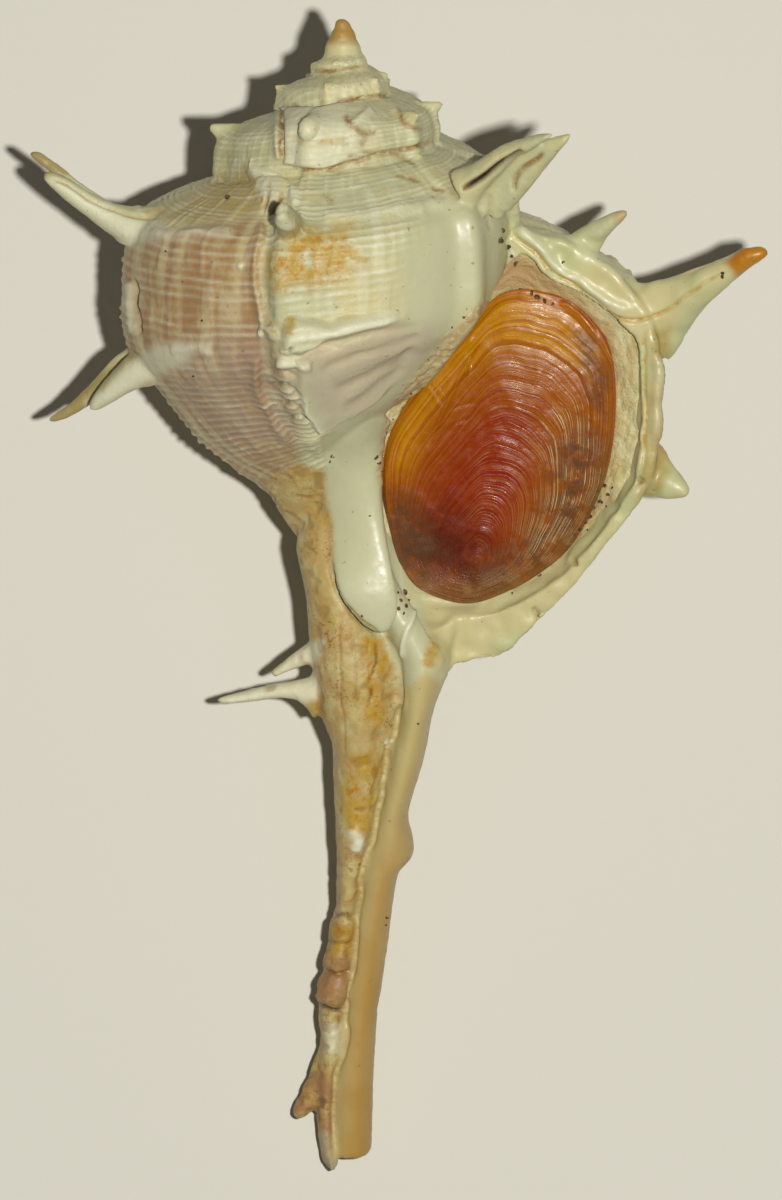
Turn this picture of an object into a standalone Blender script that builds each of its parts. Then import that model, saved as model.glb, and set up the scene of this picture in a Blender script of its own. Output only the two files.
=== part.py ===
# Murex shell lying mouth up, with the dried foot and the operculum left in its mouth.
# Metres, +Z up. The mouth faces +Z, the apex points to +Y, the canal to -Y, and the floor is Z = 0.
#
# Every whorl is one log spiral: a section (radius from the coiling axis, height down the axis from the
# apex) turns round the axis and grows by WHORL_GROWTH each turn. Angles are in degrees round the axis:
# 0 is +X, 90 faces up out of the mouth's side, and the shell grows towards larger angles.

import math

import bmesh
import bpy
import numpy as np

MM = 0.001

# The coiling axis
APEX = np.array([-3.75, 42.4, 25.4]) * MM
AXIS_TILT = math.radians(16.0)
DOWN = np.array([0.0, -math.cos(AXIS_TILT), -math.sin(AXIS_TILT)])
FRONT = np.array([0.0, -math.sin(AXIS_TILT), math.cos(AXIS_TILT)])
RIGHT = np.array([1.0, 0.0, 0.0])

# The spiral
WHORL_GROWTH = 1.8
LIP_ANGLE = 368.0
WHORL_COUNT = 5.9
SECTION_STEP = 6.0
FLARE_ANGLE = 22.0

# Sections at the lip, as (radius, height): the plain whorl, the flared lip and the mouth inside it
WHORL_SECTION = [
    (-1.0, 18.4), (10.6, 17.0), (12.0, 16.5), (16.2, 17.8), (20.1, 19.9), (21.3, 22.8), (21.6, 27.0),
    (21.6, 31.0), (20.6, 34.4), (18.7, 36.9), (16.6, 39.7), (14.1, 42.8), (10.8, 45.6), (7.5, 47.8),
    (5.7, 50.4), (2.0, 53.0), (-1.0, 54.0),
]
LIP_SECTION = [
    (-1.0, 18.0), (10.6, 16.6), (12.0, 15.6), (16.1, 16.2), (20.4, 18.9), (22.9, 22.6), (23.4, 26.6),
    (23.3, 31.0), (22.4, 35.0), (19.6, 38.9), (18.1, 41.0), (16.6, 43.0), (13.6, 46.0), (11.7, 47.9),
    (8.2, 48.8), (2.0, 53.0), (-1.0, 54.0),
]
RIB_WEIGHT = [0, 0, 0.2, 0.8, 1.0, 1.0, 1.0, 1.0, 0.9, 0.8, 0.6, 0.5, 0.3, 0.1, 0, 0, 0]
MOUTH_SECTION = [
    (13.4, 17.2), (15.1, 19.0), (17.6, 20.1), (20.2, 21.9), (21.8, 23.8), (22.0, 27.5), (22.0, 30.3),
    (21.7, 33.8), (20.6, 36.0), (18.0, 39.4), (15.1, 43.2), (12.2, 46.0), (9.3, 47.2), (6.0, 47.2),
    (4.6, 45.5), (3.8, 42.0), (3.0, 37.4), (3.2, 32.5), (3.8, 29.2), (5.9, 25.4), (8.7, 21.4),
    (11.4, 18.8),
]
# The hollow behind the flared lip, one wall inside the plain whorl
THROAT_SECTION = [
    (13.6, 18.6), (15.4, 19.2), (17.2, 20.0), (18.6, 21.4), (19.6, 23.6), (19.9, 27.0), (19.9, 30.0),
    (19.3, 32.9), (17.9, 35.2), (15.4, 38.6), (12.7, 42.1), (10.0, 44.4), (7.8, 45.9), (6.0, 45.8),
    (4.7, 44.2), (3.8, 41.0), (3.0, 37.4), (3.1, 32.5), (4.2, 29.2), (6.1, 25.6), (8.9, 21.8),
    (11.6, 19.4),
]

# Varices: thick ribs that the lip left behind, the same six places in every whorl. Each has its height in
# millimetres on the last whorl, where the left-hand one is worn low.
VARICES = {45.0: 1.9, 108.0: 1.9, 180.0: 0.3, 242.0: 1.9, 302.0: 1.9, 361.0: 1.9}
SPIRE_VARIX_HEIGHT = 1.9
VARIX_WIDTH = 5.5

# Spines of the last whorl: root and tip as (angle, radius, height), root width and thickness
WHORL_SPINES = [
    ((45, 11.0, 11.2), (36, 19.3, 6.2), 4.6, 2.4),
    ((108, 12.0, 13.0), (105, 16.9, 10.0), 2.8, 2.2),
    ((180, 13.6, 16.6), (180, 23.3, 10.2), 3.8, 2.6),
    ((242, 14.6, 17.4), (242, 24.3, 20.0), 5.0, 4.6),
    ((302, 16.4, 19.4), (302, 24.5, 22.4), 5.2, 4.8),
    ((364, 19.0, 22.6), (368, 31.0, 16.6), 7.0, 2.4),
    ((366, 15.6, 18.0), (368, 20.9, 14.4), 2.8, 1.6),
    ((108, 11.6, 19.6), (108, 15.2, 20.6), 3.2, 2.2),
    ((180, 14.0, 25.8), (180, 21.7, 30.4), 4.4, 2.4),
    ((242, 15.0, 26.6), (242, 18.6, 28.4), 3.4, 2.4),
    ((302, 16.8, 29.6), (302, 19.6, 31.6), 3.6, 2.6),
    ((364, 21.2, 34.2), (367, 25.6, 35.6), 4.6, 1.8),
]
CANAL_SPINES = [
    ((170, 0.6, 47.4), (170, 5.6, 49.6), 2.8, 2.2),
    ((185, 0.4, 50.0), (185, 9.4, 51.4), 3.2, 2.2),
    ((262, 0.4, 50.0), (262, 7.8, 51.0), 3.0, 2.4),
    ((300, 0.6, 49.0), (300, 9.0, 50.6), 3.0, 2.4),
    ((185, 0.4, 81.0), (192, 4.2, 84.4), 3.4, 1.8),
    ((5, 2.0, 62.4), (5, 5.4, 63.0), 4.4, 1.2),
]
SPIRE_SPINE = ((18.0, 20.6), (24.0, 18.2), 6.0, 3.4)
SPIRE_WHORLS = 3
SPINE_TIP = 0.22
SPINE_TAPER = 0.8
SPINE_RINGS = 7
SPINE_SIDES = 12

# Canal along the axis: height, sideways offset, half width, half depth
CANAL_SECTIONS = [
    (41.0, 0.2, 2.8, 3.4), (46.0, 1.2, 4.2, 4.2), (49.0, 2.0, 4.9, 4.4), (51.7, 2.2, 4.3, 4.0),
    (56.2, 2.2, 3.5, 3.4), (60.7, 2.0, 2.9, 2.9), (66.8, 1.5, 2.3, 2.5), (71.3, 0.7, 2.25, 2.3),
    (75.4, 0.2, 2.25, 2.2), (79.1, 0.0, 2.15, 2.2), (82.7, -0.1, 2.2, 2.2), (85.8, -0.15, 2.1, 2.1),
    (86.8, -0.5, 1.6, 1.8), (88.0, -1.0, 0.6, 1.2),
]
SLIT_DEPTH = 0.3
SLIT_WIDTH = 16.0
CANAL_SIDES = 30
CALLUS_SIDES = 12

# The tall first whorls at the apex, as canal sections; they push the rest of the spire down the axis
PROTOCONCH_SECTIONS = [
    (0.0, -0.1, 0.25, 0.25), (0.2, -0.1, 0.55, 0.55), (0.8, 0.0, 0.78, 0.78), (1.6, 0.0, 1.0, 1.0),
    (2.4, 0.0, 1.3, 1.3), (4.0, 0.0, 1.5, 1.5),
]
PROTOCONCH_RISE = 1.1

# Callus over the columella, with a free lobe above the head of the canal: sideways place, height down the axis,
# half width, distance forwards, half thickness, and how much further forwards its right-hand edge stands
CALLUS_SECTIONS = [
    (2.1, 29.0, 1.5, 4.4, 2.4, -1.2), (1.3, 31.0, 1.7, 3.4, 2.2, -1.0),
    (0.6, 34.4, 2.2, 2.0, 1.8, 0.4), (0.9, 38.1, 2.2, 2.3, 1.3, 0.8),
    (1.5, 40.2, 2.0, 3.5, 0.8, 0.4), (2.0, 42.7, 2.1, 4.3, 0.7, 0.0),
    (2.3, 43.8, 1.6, 4.4, 0.7, 0.0), (2.7, 45.2, 0.4, 4.3, 0.6, 0.0),
]

# Dried foot and operculum in the mouth
MOUTH_DEPTH = 62.0
MOUTH_NARROWING = 0.4
MOUTH_OPENING = 20.0
FOOT_DEPTH = 56.0
FOOT_BELOW_LIP = 3.0
FOOT_INSET = 0.965
FOOT_RINGS = 8
OPERCULUM_OUTLINE = [
    (12.6, 20.5), (15.3, 21.3), (17.9, 23.2), (19.2, 25.9), (19.3, 29.5), (18.6, 33.5), (17.6, 36.7),
    (15.8, 39.5), (13.3, 41.9), (10.7, 43.5), (7.8, 43.9), (5.6, 42.5), (4.3, 40.4), (3.8, 37.6),
    (3.8, 34.6), (4.6, 31.2), (6.0, 28.2), (8.2, 25.0), (10.4, 22.0),
]
OPERCULUM_REACH = 10 * MM
OPERCULUM_THICKNESS = 1.3 * MM
OPERCULUM_RECESS = 1.1 * MM
OPERCULUM_CROWN = 0.5 * MM
OPERCULUM_EDGE = 0.3 * MM
OPERCULUM_BACK_SHARE = 0.97
SEAT_HEIGHT = 3.9 * MM
# Rings of its crowned face, as shares of the crown's height and of the outline
OPERCULUM_CROWN_RINGS = [(0.0, 0.93), (0.7, 0.6), (1.0, 0.25)]
GAP = 0.35 * MM

VOXEL = 0.42 * MM
FACES_KEPT = 0.075
FLOOR_SIZE = 0.2

# Colour, roughness, metallic
MATERIALS = {
    "shell": ((0.71, 0.62, 0.46), 0.55, 0.0),
    "dried_foot": ((0.47, 0.34, 0.22), 0.9, 0.0),
    "operculum": ((0.30, 0.09, 0.035), 0.3, 0.0),
}


def clear_scene():
    for old in list(bpy.data.objects):
        bpy.data.objects.remove(old, do_unlink=True)


def place(angle, radius, height):
    """World point in metres, from an angle round the axis and a radius and height in millimetres."""
    turn = math.radians(angle)
    outwards = math.cos(turn) * RIGHT + math.sin(turn) * FRONT
    return APEX + (height * DOWN + radius * outwards) * MM


def smooth_curve(points, steps, closed=False):
    """Catmull-Rom curve through the points, with this many steps between neighbours."""
    points = np.array(points, float)
    last = len(points) if closed else len(points) - 1
    curve = []
    for i in range(last):
        if closed:
            a, b, c, d = (points[(i + k) % len(points)] for k in (-1, 0, 1, 2))
        else:
            a, b, c, d = (points[min(max(i + k, 0), last)] for k in (-1, 0, 1, 2))
        for step in range(steps):
            u = step / steps
            curve.append(
                0.5 * (2 * b + (c - a) * u + (2 * a - 5 * b + 4 * c - d) * u**2 + (3 * b - a - 3 * c + d) * u**3)
            )
    if not closed:
        curve.append(points[-1])
    return np.array(curve)


def ease(value):
    value = min(max(value, 0.0), 1.0)
    return value * value * (3 - 2 * value)


def size_at(angle):
    return WHORL_GROWTH ** ((angle - LIP_ANGLE) / 360)


def varix_at(angle):
    """Height of the nearest varix at this angle, in millimetres at the lip's size."""
    gaps = {crest: abs((angle - crest + 180) % 360 - 180) for crest in VARICES}
    nearest = min(gaps, key=gaps.get)
    height = VARICES[nearest] if angle > min(VARICES) - 2 * VARIX_WIDTH else SPIRE_VARIX_HEIGHT
    return height * math.exp(-((gaps[nearest] / VARIX_WIDTH) ** 2))


def add_loft(bm, rings):
    """Closed rings of equal length, joined into a tube with both ends capped."""
    loops = [[bm.verts.new(point) for point in ring] for ring in rings]
    count = len(loops[0])
    for first, second in zip(loops, loops[1:]):
        for i in range(count):
            j = (i + 1) % count
            bm.faces.new((first[i], first[j], second[j], second[i]))
    bm.faces.new(loops[0][::-1])
    bm.faces.new(loops[-1])


def whorl_ring(angle):
    size = size_at(angle)
    flare = ease((angle - LIP_ANGLE + FLARE_ANGLE) / FLARE_ANGLE)
    section = (1 - flare) * np.array(WHORL_SECTION) + flare * np.array(LIP_SECTION)
    section[:, 0] += varix_at(angle) * (1 - flare) * np.array(RIB_WEIGHT)
    drop = PROTOCONCH_RISE * (1 - size)
    return [place(angle, radius * size, height * size + drop) for radius, height in smooth_curve(section, 3)]


def mouth_ring(angle, inset=1.0):
    """Section of the hollow mouth: it narrows away from the lip, and inset shrinks it about its middle."""
    size = size_at(angle)
    depth = (LIP_ANGLE - angle) / MOUTH_DEPTH
    flare = ease((angle - LIP_ANGLE + FLARE_ANGLE) / FLARE_ANGLE)
    section = (1 - flare) * np.array(THROAT_SECTION) + flare * np.array(MOUTH_SECTION)
    section = smooth_curve(section, 2, closed=True)
    middle = section.mean(axis=0)
    narrowing = 1 - MOUTH_NARROWING * ease(2 * depth - 1)
    section = middle + (section - middle) * inset * narrowing
    return [place(angle, radius * size, height * size) for radius, height in section]


def add_spine(bm, root, tip, width, thickness):
    """Tapering spine between two points given as (angle, radius, height), wider along the shell's axis."""
    start = place(*root)
    end = place(*tip)
    along = (end - start) / np.linalg.norm(end - start)
    side = np.cross(DOWN, along)
    side /= np.linalg.norm(side)
    across = np.cross(along, side)
    rings = []
    for u in np.linspace(0.0, 1.0, SPINE_RINGS):
        taper = SPINE_TIP + (1 - SPINE_TIP) * (1 - u) ** SPINE_TAPER
        centre = start + (end - start) * u
        ring = []
        for turn in np.linspace(0, 2 * math.pi, SPINE_SIDES, endpoint=False):
            wide = math.cos(turn) * width / 2 * MM * taper
            thick = math.sin(turn) * thickness / 2 * MM * taper
            ring.append(centre + wide * across + thick * side)
        rings.append(ring)
    add_loft(bm, rings)


def add_axial_tube(bm, sections, slit_depth=0.0):
    """Tube along the axis, with a slit of this depth, as a share of the radius, down its front."""
    rings = []
    for height, offset, half_width, half_depth in smooth_curve(sections, 3):
        centre = APEX + (height * DOWN + offset * RIGHT) * MM
        ring = []
        for turn in np.linspace(0, 360, CANAL_SIDES, endpoint=False):
            slit = 1 - slit_depth * math.exp(-(((turn - 90) / SLIT_WIDTH) ** 2))
            wide = math.cos(math.radians(turn)) * half_width * slit
            deep = math.sin(math.radians(turn)) * half_depth * slit
            ring.append(centre + (wide * RIGHT + deep * FRONT) * MM)
        rings.append(ring)
    add_loft(bm, rings)


def add_callus(bm):
    rings = []
    for sideways, height, half_width, forwards, half_thickness, lean in smooth_curve(CALLUS_SECTIONS, 3):
        centre = APEX + (height * DOWN + sideways * RIGHT + forwards * FRONT) * MM
        ring = []
        for turn in np.linspace(0, 2 * math.pi, CALLUS_SIDES, endpoint=False):
            wide = math.cos(turn) * half_width
            thick = math.sin(turn) * half_thickness + math.cos(turn) * lean
            ring.append(centre + (wide * RIGHT + thick * FRONT) * MM)
        rings.append(ring)
    add_loft(bm, rings)


def new_object(name, bm, collection):
    bmesh.ops.recalc_face_normals(bm, faces=bm.faces[:])
    mesh = bpy.data.meshes.new(name)
    bm.to_mesh(mesh)
    bm.free()
    mesh.shade_smooth()
    obj = bpy.data.objects.new(name, mesh)
    collection.objects.link(obj)
    return obj


def loft_object(name, rings, collection):
    bm = bmesh.new()
    add_loft(bm, rings)
    return new_object(name, bm, collection)


def make_cutter(cutter):
    cutter.hide_render = True
    cutter.display_type = "WIRE"


def cut(obj, cutter):
    make_cutter(cutter)
    boolean = obj.modifiers.new("cut " + cutter.name, "BOOLEAN")
    boolean.operation = "DIFFERENCE"
    boolean.solver = "EXACT"
    boolean.object = cutter


def build_shell(parts, cutters):
    bm = bmesh.new()
    first = LIP_ANGLE - 360 * WHORL_COUNT
    add_loft(bm, [whorl_ring(angle) for angle in np.arange(LIP_ANGLE, first, -SECTION_STEP)])
    add_axial_tube(bm, CANAL_SECTIONS, SLIT_DEPTH)
    add_axial_tube(bm, PROTOCONCH_SECTIONS)
    add_callus(bm)
    for root, tip, width, thickness in WHORL_SPINES + CANAL_SPINES:
        add_spine(bm, root, tip, width, thickness)
    for whorl in range(1, SPIRE_WHORLS + 1):
        for crest in VARICES:
            angle = crest - 360 * whorl
            size = size_at(angle)
            drop = PROTOCONCH_RISE * (1 - size)
            (root_radius, root_height), (tip_radius, tip_height), width, thickness = SPIRE_SPINE
            root = (angle, root_radius * size, root_height * size + drop)
            tip = (angle, tip_radius * size, tip_height * size + drop)
            add_spine(bm, root, tip, width * size, thickness * size)
    shell = new_object("shell", bm, parts)

    fuse = shell.modifiers.new("fuse", "REMESH")
    fuse.mode = "VOXEL"
    fuse.voxel_size = VOXEL
    fuse.use_smooth_shade = True
    thin = shell.modifiers.new("thin out", "DECIMATE")
    thin.ratio = FACES_KEPT

    mouth_angles = np.arange(LIP_ANGLE - MOUTH_DEPTH, LIP_ANGLE + MOUTH_OPENING, SECTION_STEP)
    cut(shell, loft_object("mouth_cutter", [mouth_ring(angle) for angle in mouth_angles], cutters))
    floor = bmesh.new()
    bmesh.ops.create_cube(floor, size=FLOOR_SIZE)
    bmesh.ops.translate(floor, vec=(0, 0, -FLOOR_SIZE / 2), verts=floor.verts[:])
    cut(shell, new_object("floor_cutter", floor, cutters))
    return shell


def operculum_rings(clearance=0.0):
    """Egg-shaped plate across the mouth, a little crowned; clearance grows it for the recess that holds it."""
    outline = smooth_curve(OPERCULUM_OUTLINE, 3, closed=True)
    middle = outline.mean(axis=0)
    plane_angle = LIP_ANGLE - FOOT_BELOW_LIP
    turn = math.radians(plane_angle)
    outwards = math.cos(turn) * RIGHT + math.sin(turn) * FRONT
    forwards = -math.sin(turn) * RIGHT + math.cos(turn) * FRONT
    grow = 1 + clearance / OPERCULUM_REACH
    back = -OPERCULUM_RECESS - OPERCULUM_THICKNESS / 2
    face = -OPERCULUM_RECESS + OPERCULUM_THICKNESS / 2
    # each level is how far forwards it lies and the share of the outline that it spans
    if clearance:
        levels = [(back - clearance, OPERCULUM_BACK_SHARE), (back, 1.0), (face + SEAT_HEIGHT, 1.0)]
    else:
        levels = [(back, OPERCULUM_BACK_SHARE), (back + OPERCULUM_EDGE, 1.0), (face - OPERCULUM_EDGE, 1.0)]
        levels += [(face + rise * OPERCULUM_CROWN, share) for rise, share in OPERCULUM_CROWN_RINGS]
    rings = []
    for level, scale in levels:
        ring = middle + (outline - middle) * scale * grow
        rings.append(
            [APEX + (radius * outwards + height * DOWN) * MM + level * forwards for radius, height in ring]
        )
    return rings


def build_foot(parts, cutters):
    angles = np.linspace(LIP_ANGLE - FOOT_DEPTH, LIP_ANGLE - FOOT_BELOW_LIP, FOOT_RINGS)
    foot = loft_object("dried_foot", [mouth_ring(angle, FOOT_INSET) for angle in angles], parts)
    cut(foot, loft_object("operculum_seat", operculum_rings(GAP), cutters))
    return foot


def build_operculum(parts):
    return loft_object("operculum", operculum_rings(), parts)


def finish_object(obj):
    colour, roughness, metallic = MATERIALS[obj.name]
    material = bpy.data.materials.new(obj.name)
    material.use_nodes = True
    shader = material.node_tree.nodes["Principled BSDF"]
    shader.inputs["Base Color"].default_value = (*colour, 1.0)
    shader.inputs["Roughness"].default_value = roughness
    shader.inputs["Metallic"].default_value = metallic
    material.diffuse_color = (*colour, 1.0)
    obj.data.materials.append(material)


def main():
    clear_scene()
    parts = bpy.data.collections.new("murex shell")
    cutters = bpy.data.collections.new("cutters")
    bpy.context.scene.collection.children.link(parts)
    bpy.context.scene.collection.children.link(cutters)
    for obj in (build_shell(parts, cutters), build_foot(parts, cutters), build_operculum(parts)):
        finish_object(obj)


main()
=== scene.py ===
# Murex shell lying mouth up: the spiny shell, the dried foot in its mouth and the horny operculum.
# Metres, +Z up. Sizes inside the dictionaries are in millimetres unless a note says pixels or degrees.
import math

import bmesh
import bpy
import numpy as np
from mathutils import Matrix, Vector
from mathutils.bvhtree import BVHTree


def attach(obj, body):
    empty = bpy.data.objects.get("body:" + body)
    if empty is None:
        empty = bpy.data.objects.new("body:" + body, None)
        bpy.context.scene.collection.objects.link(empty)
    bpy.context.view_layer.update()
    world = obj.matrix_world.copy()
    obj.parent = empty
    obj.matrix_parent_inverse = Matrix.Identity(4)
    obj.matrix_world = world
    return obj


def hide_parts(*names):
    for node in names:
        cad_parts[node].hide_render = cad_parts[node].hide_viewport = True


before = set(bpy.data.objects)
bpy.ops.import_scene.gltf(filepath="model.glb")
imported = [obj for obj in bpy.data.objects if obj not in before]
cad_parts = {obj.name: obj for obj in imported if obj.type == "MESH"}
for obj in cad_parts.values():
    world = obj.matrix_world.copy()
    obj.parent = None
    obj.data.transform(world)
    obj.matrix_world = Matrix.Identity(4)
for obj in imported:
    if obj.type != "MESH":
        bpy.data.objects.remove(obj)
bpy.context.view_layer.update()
mm = 0.001

# the photograph's own frame, and where the shell's middle lies in it
photo = {"width": 782, "height": 1200, "middle": (394.5, 599.5), "mmPerPixel": 0.0733}

# The whorls are one log spiral. A section is (radius, height down the axis), measured at the lip.
# Angles go round the axis in degrees: 0 is +X, 90 faces up, and the shell grows towards larger angles.
spiral = {
    "apex": (-3.75, 42.4, 25.4),
    "tilt": 16.0,  # degrees between the axis and the floor
    "growth": 1.8,  # each whorl against the one before it
    "lipAngle": 368.0,
    "whorls": 5.9,
    "flareAngle": 22.0,
    "apexDrop": 1.1,  # the tall first whorls push the rest down the axis
    "whorl": [
        (-1.0, 17.8), (10.6, 16.4), (12.0, 16.2), (16.2, 17.8), (20.1, 19.9), (21.3, 22.8), (21.6, 27.0),
        (21.6, 31.0), (20.6, 34.4), (18.7, 36.9), (16.6, 39.7), (14.1, 42.8), (10.8, 45.6), (7.5, 47.8),
        (5.7, 50.4), (2.0, 53.0), (-1.0, 54.0)],
    "lip": [
        (-1.0, 18.0), (10.6, 16.6), (12.0, 15.6), (16.1, 16.2), (20.4, 18.9), (22.9, 22.6), (23.4, 26.6),
        (23.3, 31.0), (22.4, 35.0), (19.6, 38.9), (18.1, 41.0), (16.6, 43.0), (13.6, 46.0), (11.7, 47.9),
        (8.2, 48.8), (2.0, 53.0), (-1.0, 54.0)],
    "mouth": [
        (13.4, 17.2), (15.1, 19.0), (17.6, 20.1), (20.2, 21.9), (21.8, 23.8), (22.0, 27.5), (22.0, 30.3),
        (21.6, 33.8), (20.4, 36.2), (18.6, 38.9), (16.6, 41.2), (14.6, 42.9), (12.4, 44.1), (9.9, 44.9),
        (7.4, 45.0), (5.3, 44.5), (4.2, 43.3), (3.4, 41.0), (2.4, 37.4), (2.4, 33.0), (3.2, 29.4),
        (5.4, 25.4), (8.4, 21.4), (11.4, 18.8)],
    "throat": [
        (13.6, 18.6), (15.4, 19.2), (17.2, 20.0), (18.6, 21.4), (19.6, 23.6), (19.9, 27.0), (19.9, 30.0),
        (19.3, 32.9), (17.9, 35.2), (16.6, 37.3), (15.0, 39.4), (13.2, 41.2), (11.4, 42.6), (9.6, 43.5),
        (7.7, 43.9), (6.1, 43.7), (4.9, 42.6), (3.6, 40.4), (2.5, 37.4), (2.5, 33.0), (3.5, 29.4),
        (5.6, 25.6), (8.6, 21.8), (11.6, 19.4)],
    "mouthDepth": 62.0,
    "slimmerApex": 0.17,  # how much narrower the smallest whorls are than the spiral makes them
    "spireLean": 0.18,  # the front of the spire leans this much towards the apex
}
varices = {
    # angle of each thick rib, and its height on the last whorl, where the left-hand one is worn low
    "heights": {45.0: 1.9, 108.0: 1.9, 180.0: 0.3, 242.0: 1.9, 302.0: 1.9, 361.0: 1.9},
    "spireHeight": 1.9,
    "before": 8.0,  # degrees of slope on the old side of the crest
    "after": 3.2,  # and on the new side, which is the steep one
    "weight": [0, 0, 0.2, 0.8, 1.0, 1.0, 1.0, 1.0, 0.9, 0.8, 0.6, 0.5, 0.3, 0.1, 0, 0, 0],
}

apex = np.array(spiral["apex"])
tilt = math.radians(spiral["tilt"])
down = np.array([0.0, -math.cos(tilt), -math.sin(tilt)])
front = np.array([0.0, -math.sin(tilt), math.cos(tilt)])
right = np.array([1.0, 0.0, 0.0])


def place(angle, radius, height):
    # a point in millimetres from its angle, radius and height on the coiling axis
    turn = math.radians(angle)
    return apex + height * down + radius * (math.cos(turn) * right + math.sin(turn) * front)


def fromPhoto(pixelX, pixelY, forwards):
    # a point that shows at this pixel and stands this far in front of the axis
    x = (pixelX - photo["middle"][0]) * photo["mmPerPixel"]
    y = (photo["middle"][1] - pixelY) * photo["mmPerPixel"]
    height = (apex[1] - y - forwards * math.sin(tilt)) / math.cos(tilt)
    point = apex + height * down + forwards * front
    point[0] = x
    return point


def toPhoto(points):
    # pixel that each point, in millimetres, shows at
    pixelX = points[:, 0] / photo["mmPerPixel"] + photo["middle"][0]
    pixelY = photo["middle"][1] - points[:, 1] / photo["mmPerPixel"]
    return np.stack([pixelX, pixelY], axis=1)


def smoothCurve(points, steps, closed=False):
    # Catmull-Rom curve with this many steps from one point to the next
    points = np.array(points, float)
    last = len(points) if closed else len(points) - 1
    curve = []
    for i in range(last):
        if closed:
            a, b, c, d = (points[(i + k) % len(points)] for k in (-1, 0, 1, 2))
        else:
            a, b, c, d = (points[min(max(i + k, 0), last)] for k in (-1, 0, 1, 2))
        for u in np.arange(steps) / steps:
            square = (2 * a - 5 * b + 4 * c - d) * u**2
            cube = (3 * b - a - 3 * c + d) * u**3
            curve.append(0.5 * (2 * b + (c - a) * u + square + cube))
    if not closed:
        curve.append(points[-1])
    return np.array(curve)


def ease(value):
    value = np.clip(value, 0.0, 1.0)
    return value * value * (3 - 2 * value)


def sizeAt(angle):
    return spiral["growth"] ** ((angle - spiral["lipAngle"]) / 360)


def slimAt(size):
    # share of the spiral's radius that a whorl of this size has
    return 1 - spiral["slimmerApex"] * ease((0.28 - size) / 0.16)


def varixAt(angle):
    # 1 on a varix's crest, falling slowly on its old side and fast on its new side, and that varix's height
    best, height = 0.0, 0.0
    for crest, tall in varices["heights"].items():
        past = (angle - crest + 180) % 360 - 180
        rise = math.exp(-((past / (varices["after"] if past > 0 else varices["before"])) ** 2))
        if rise > best:
            best, height = rise, tall if angle > 30 else varices["spireHeight"]
    return best, height


def fullTurn(count):
    return np.linspace(0, 2 * math.pi, count, endpoint=False)


def addLoft(bm, rings):
    # closed rings of equal length, in millimetres, joined into a tube with capped ends
    loops = [[bm.verts.new(point * mm) for point in ring] for ring in rings]
    count = len(loops[0])
    for first, second in zip(loops, loops[1:]):
        for i in range(count):
            j = (i + 1) % count
            bm.faces.new((first[i], first[j], second[j], second[i]))
    bm.faces.new(loops[0][::-1])
    bm.faces.new(loops[-1])


def newPiece(name, bm):
    bmesh.ops.recalc_face_normals(bm, faces=bm.faces[:])
    mesh = bpy.data.meshes.new(name)
    bm.to_mesh(mesh)
    bm.free()
    mesh.shade_smooth()
    piece = bpy.data.objects.new(name, mesh)
    bpy.context.scene.collection.objects.link(piece)
    return piece


def applyModifiers(piece):
    # keeps the finished mesh, so that its points can be moved by code
    graph = bpy.context.evaluated_depsgraph_get()
    mesh = bpy.data.meshes.new_from_object(piece.evaluated_get(graph))
    piece.modifiers.clear()
    old = piece.data
    piece.data = mesh
    bpy.data.meshes.remove(old)


def fuse(piece, voxel):
    remesh = piece.modifiers.new("fuse", "REMESH")
    remesh.mode = "VOXEL"
    remesh.voxel_size = voxel * mm
    remesh.use_smooth_shade = True
    applyModifiers(piece)


def pointsOf(mesh):
    points = np.empty(len(mesh.vertices) * 3, np.float32)
    mesh.vertices.foreach_get("co", points)
    return points.reshape(-1, 3).astype(float) / mm


def normalsOf(mesh):
    normals = np.empty(len(mesh.vertices) * 3, np.float32)
    mesh.vertex_normals.foreach_get("vector", normals)
    return normals.reshape(-1, 3).astype(float)


def setPoints(mesh, points):
    mesh.vertices.foreach_set("co", (points * mm).astype(np.float32).ravel())
    mesh.update()


def setValues(mesh, name, values):
    # one number for each point, which the materials read by name
    layer = mesh.attributes.new(name, "FLOAT", "POINT")
    layer.data.foreach_set("value", np.asarray(values, np.float32))


noisePrimes = (73856093, 19349663, 83492791)  # spread the corners of the noise's grid over its table


def softNoise(points, scale, seed):
    # smooth noise from 0 to 1 that varies over this many millimetres
    table = np.random.default_rng(seed).random(4096)
    scaled = points / scale + 1000.0
    corner = np.floor(scaled).astype(np.int64)
    part = scaled - corner
    part = part * part * (3 - 2 * part)
    total = np.zeros(len(points))
    for i in (0, 1):
        for j in (0, 1):
            for k in (0, 1):
                x, y, z = (corner + (i, j, k)).T * np.array(noisePrimes)[:, None]
                slot = x ^ y ^ z
                share = 1.0
                for axis, step in enumerate((i, j, k)):
                    share = share * (part[:, axis] if step else 1 - part[:, axis])
                total += table[slot & 4095] * share
    return total


def joinedNoise(seed, *columns):
    # noise over any three numbers of each point instead of its place
    return softNoise(np.stack(columns, axis=1), 1.0, seed)


def mottle(points, scale, seed):
    # three sizes of noise together
    return (
        0.55 * softNoise(points, scale, seed)
        + 0.3 * softNoise(points, scale / 2.3, seed + 1)
        + 0.15 * softNoise(points, scale / 5.1, seed + 2)
    )


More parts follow.
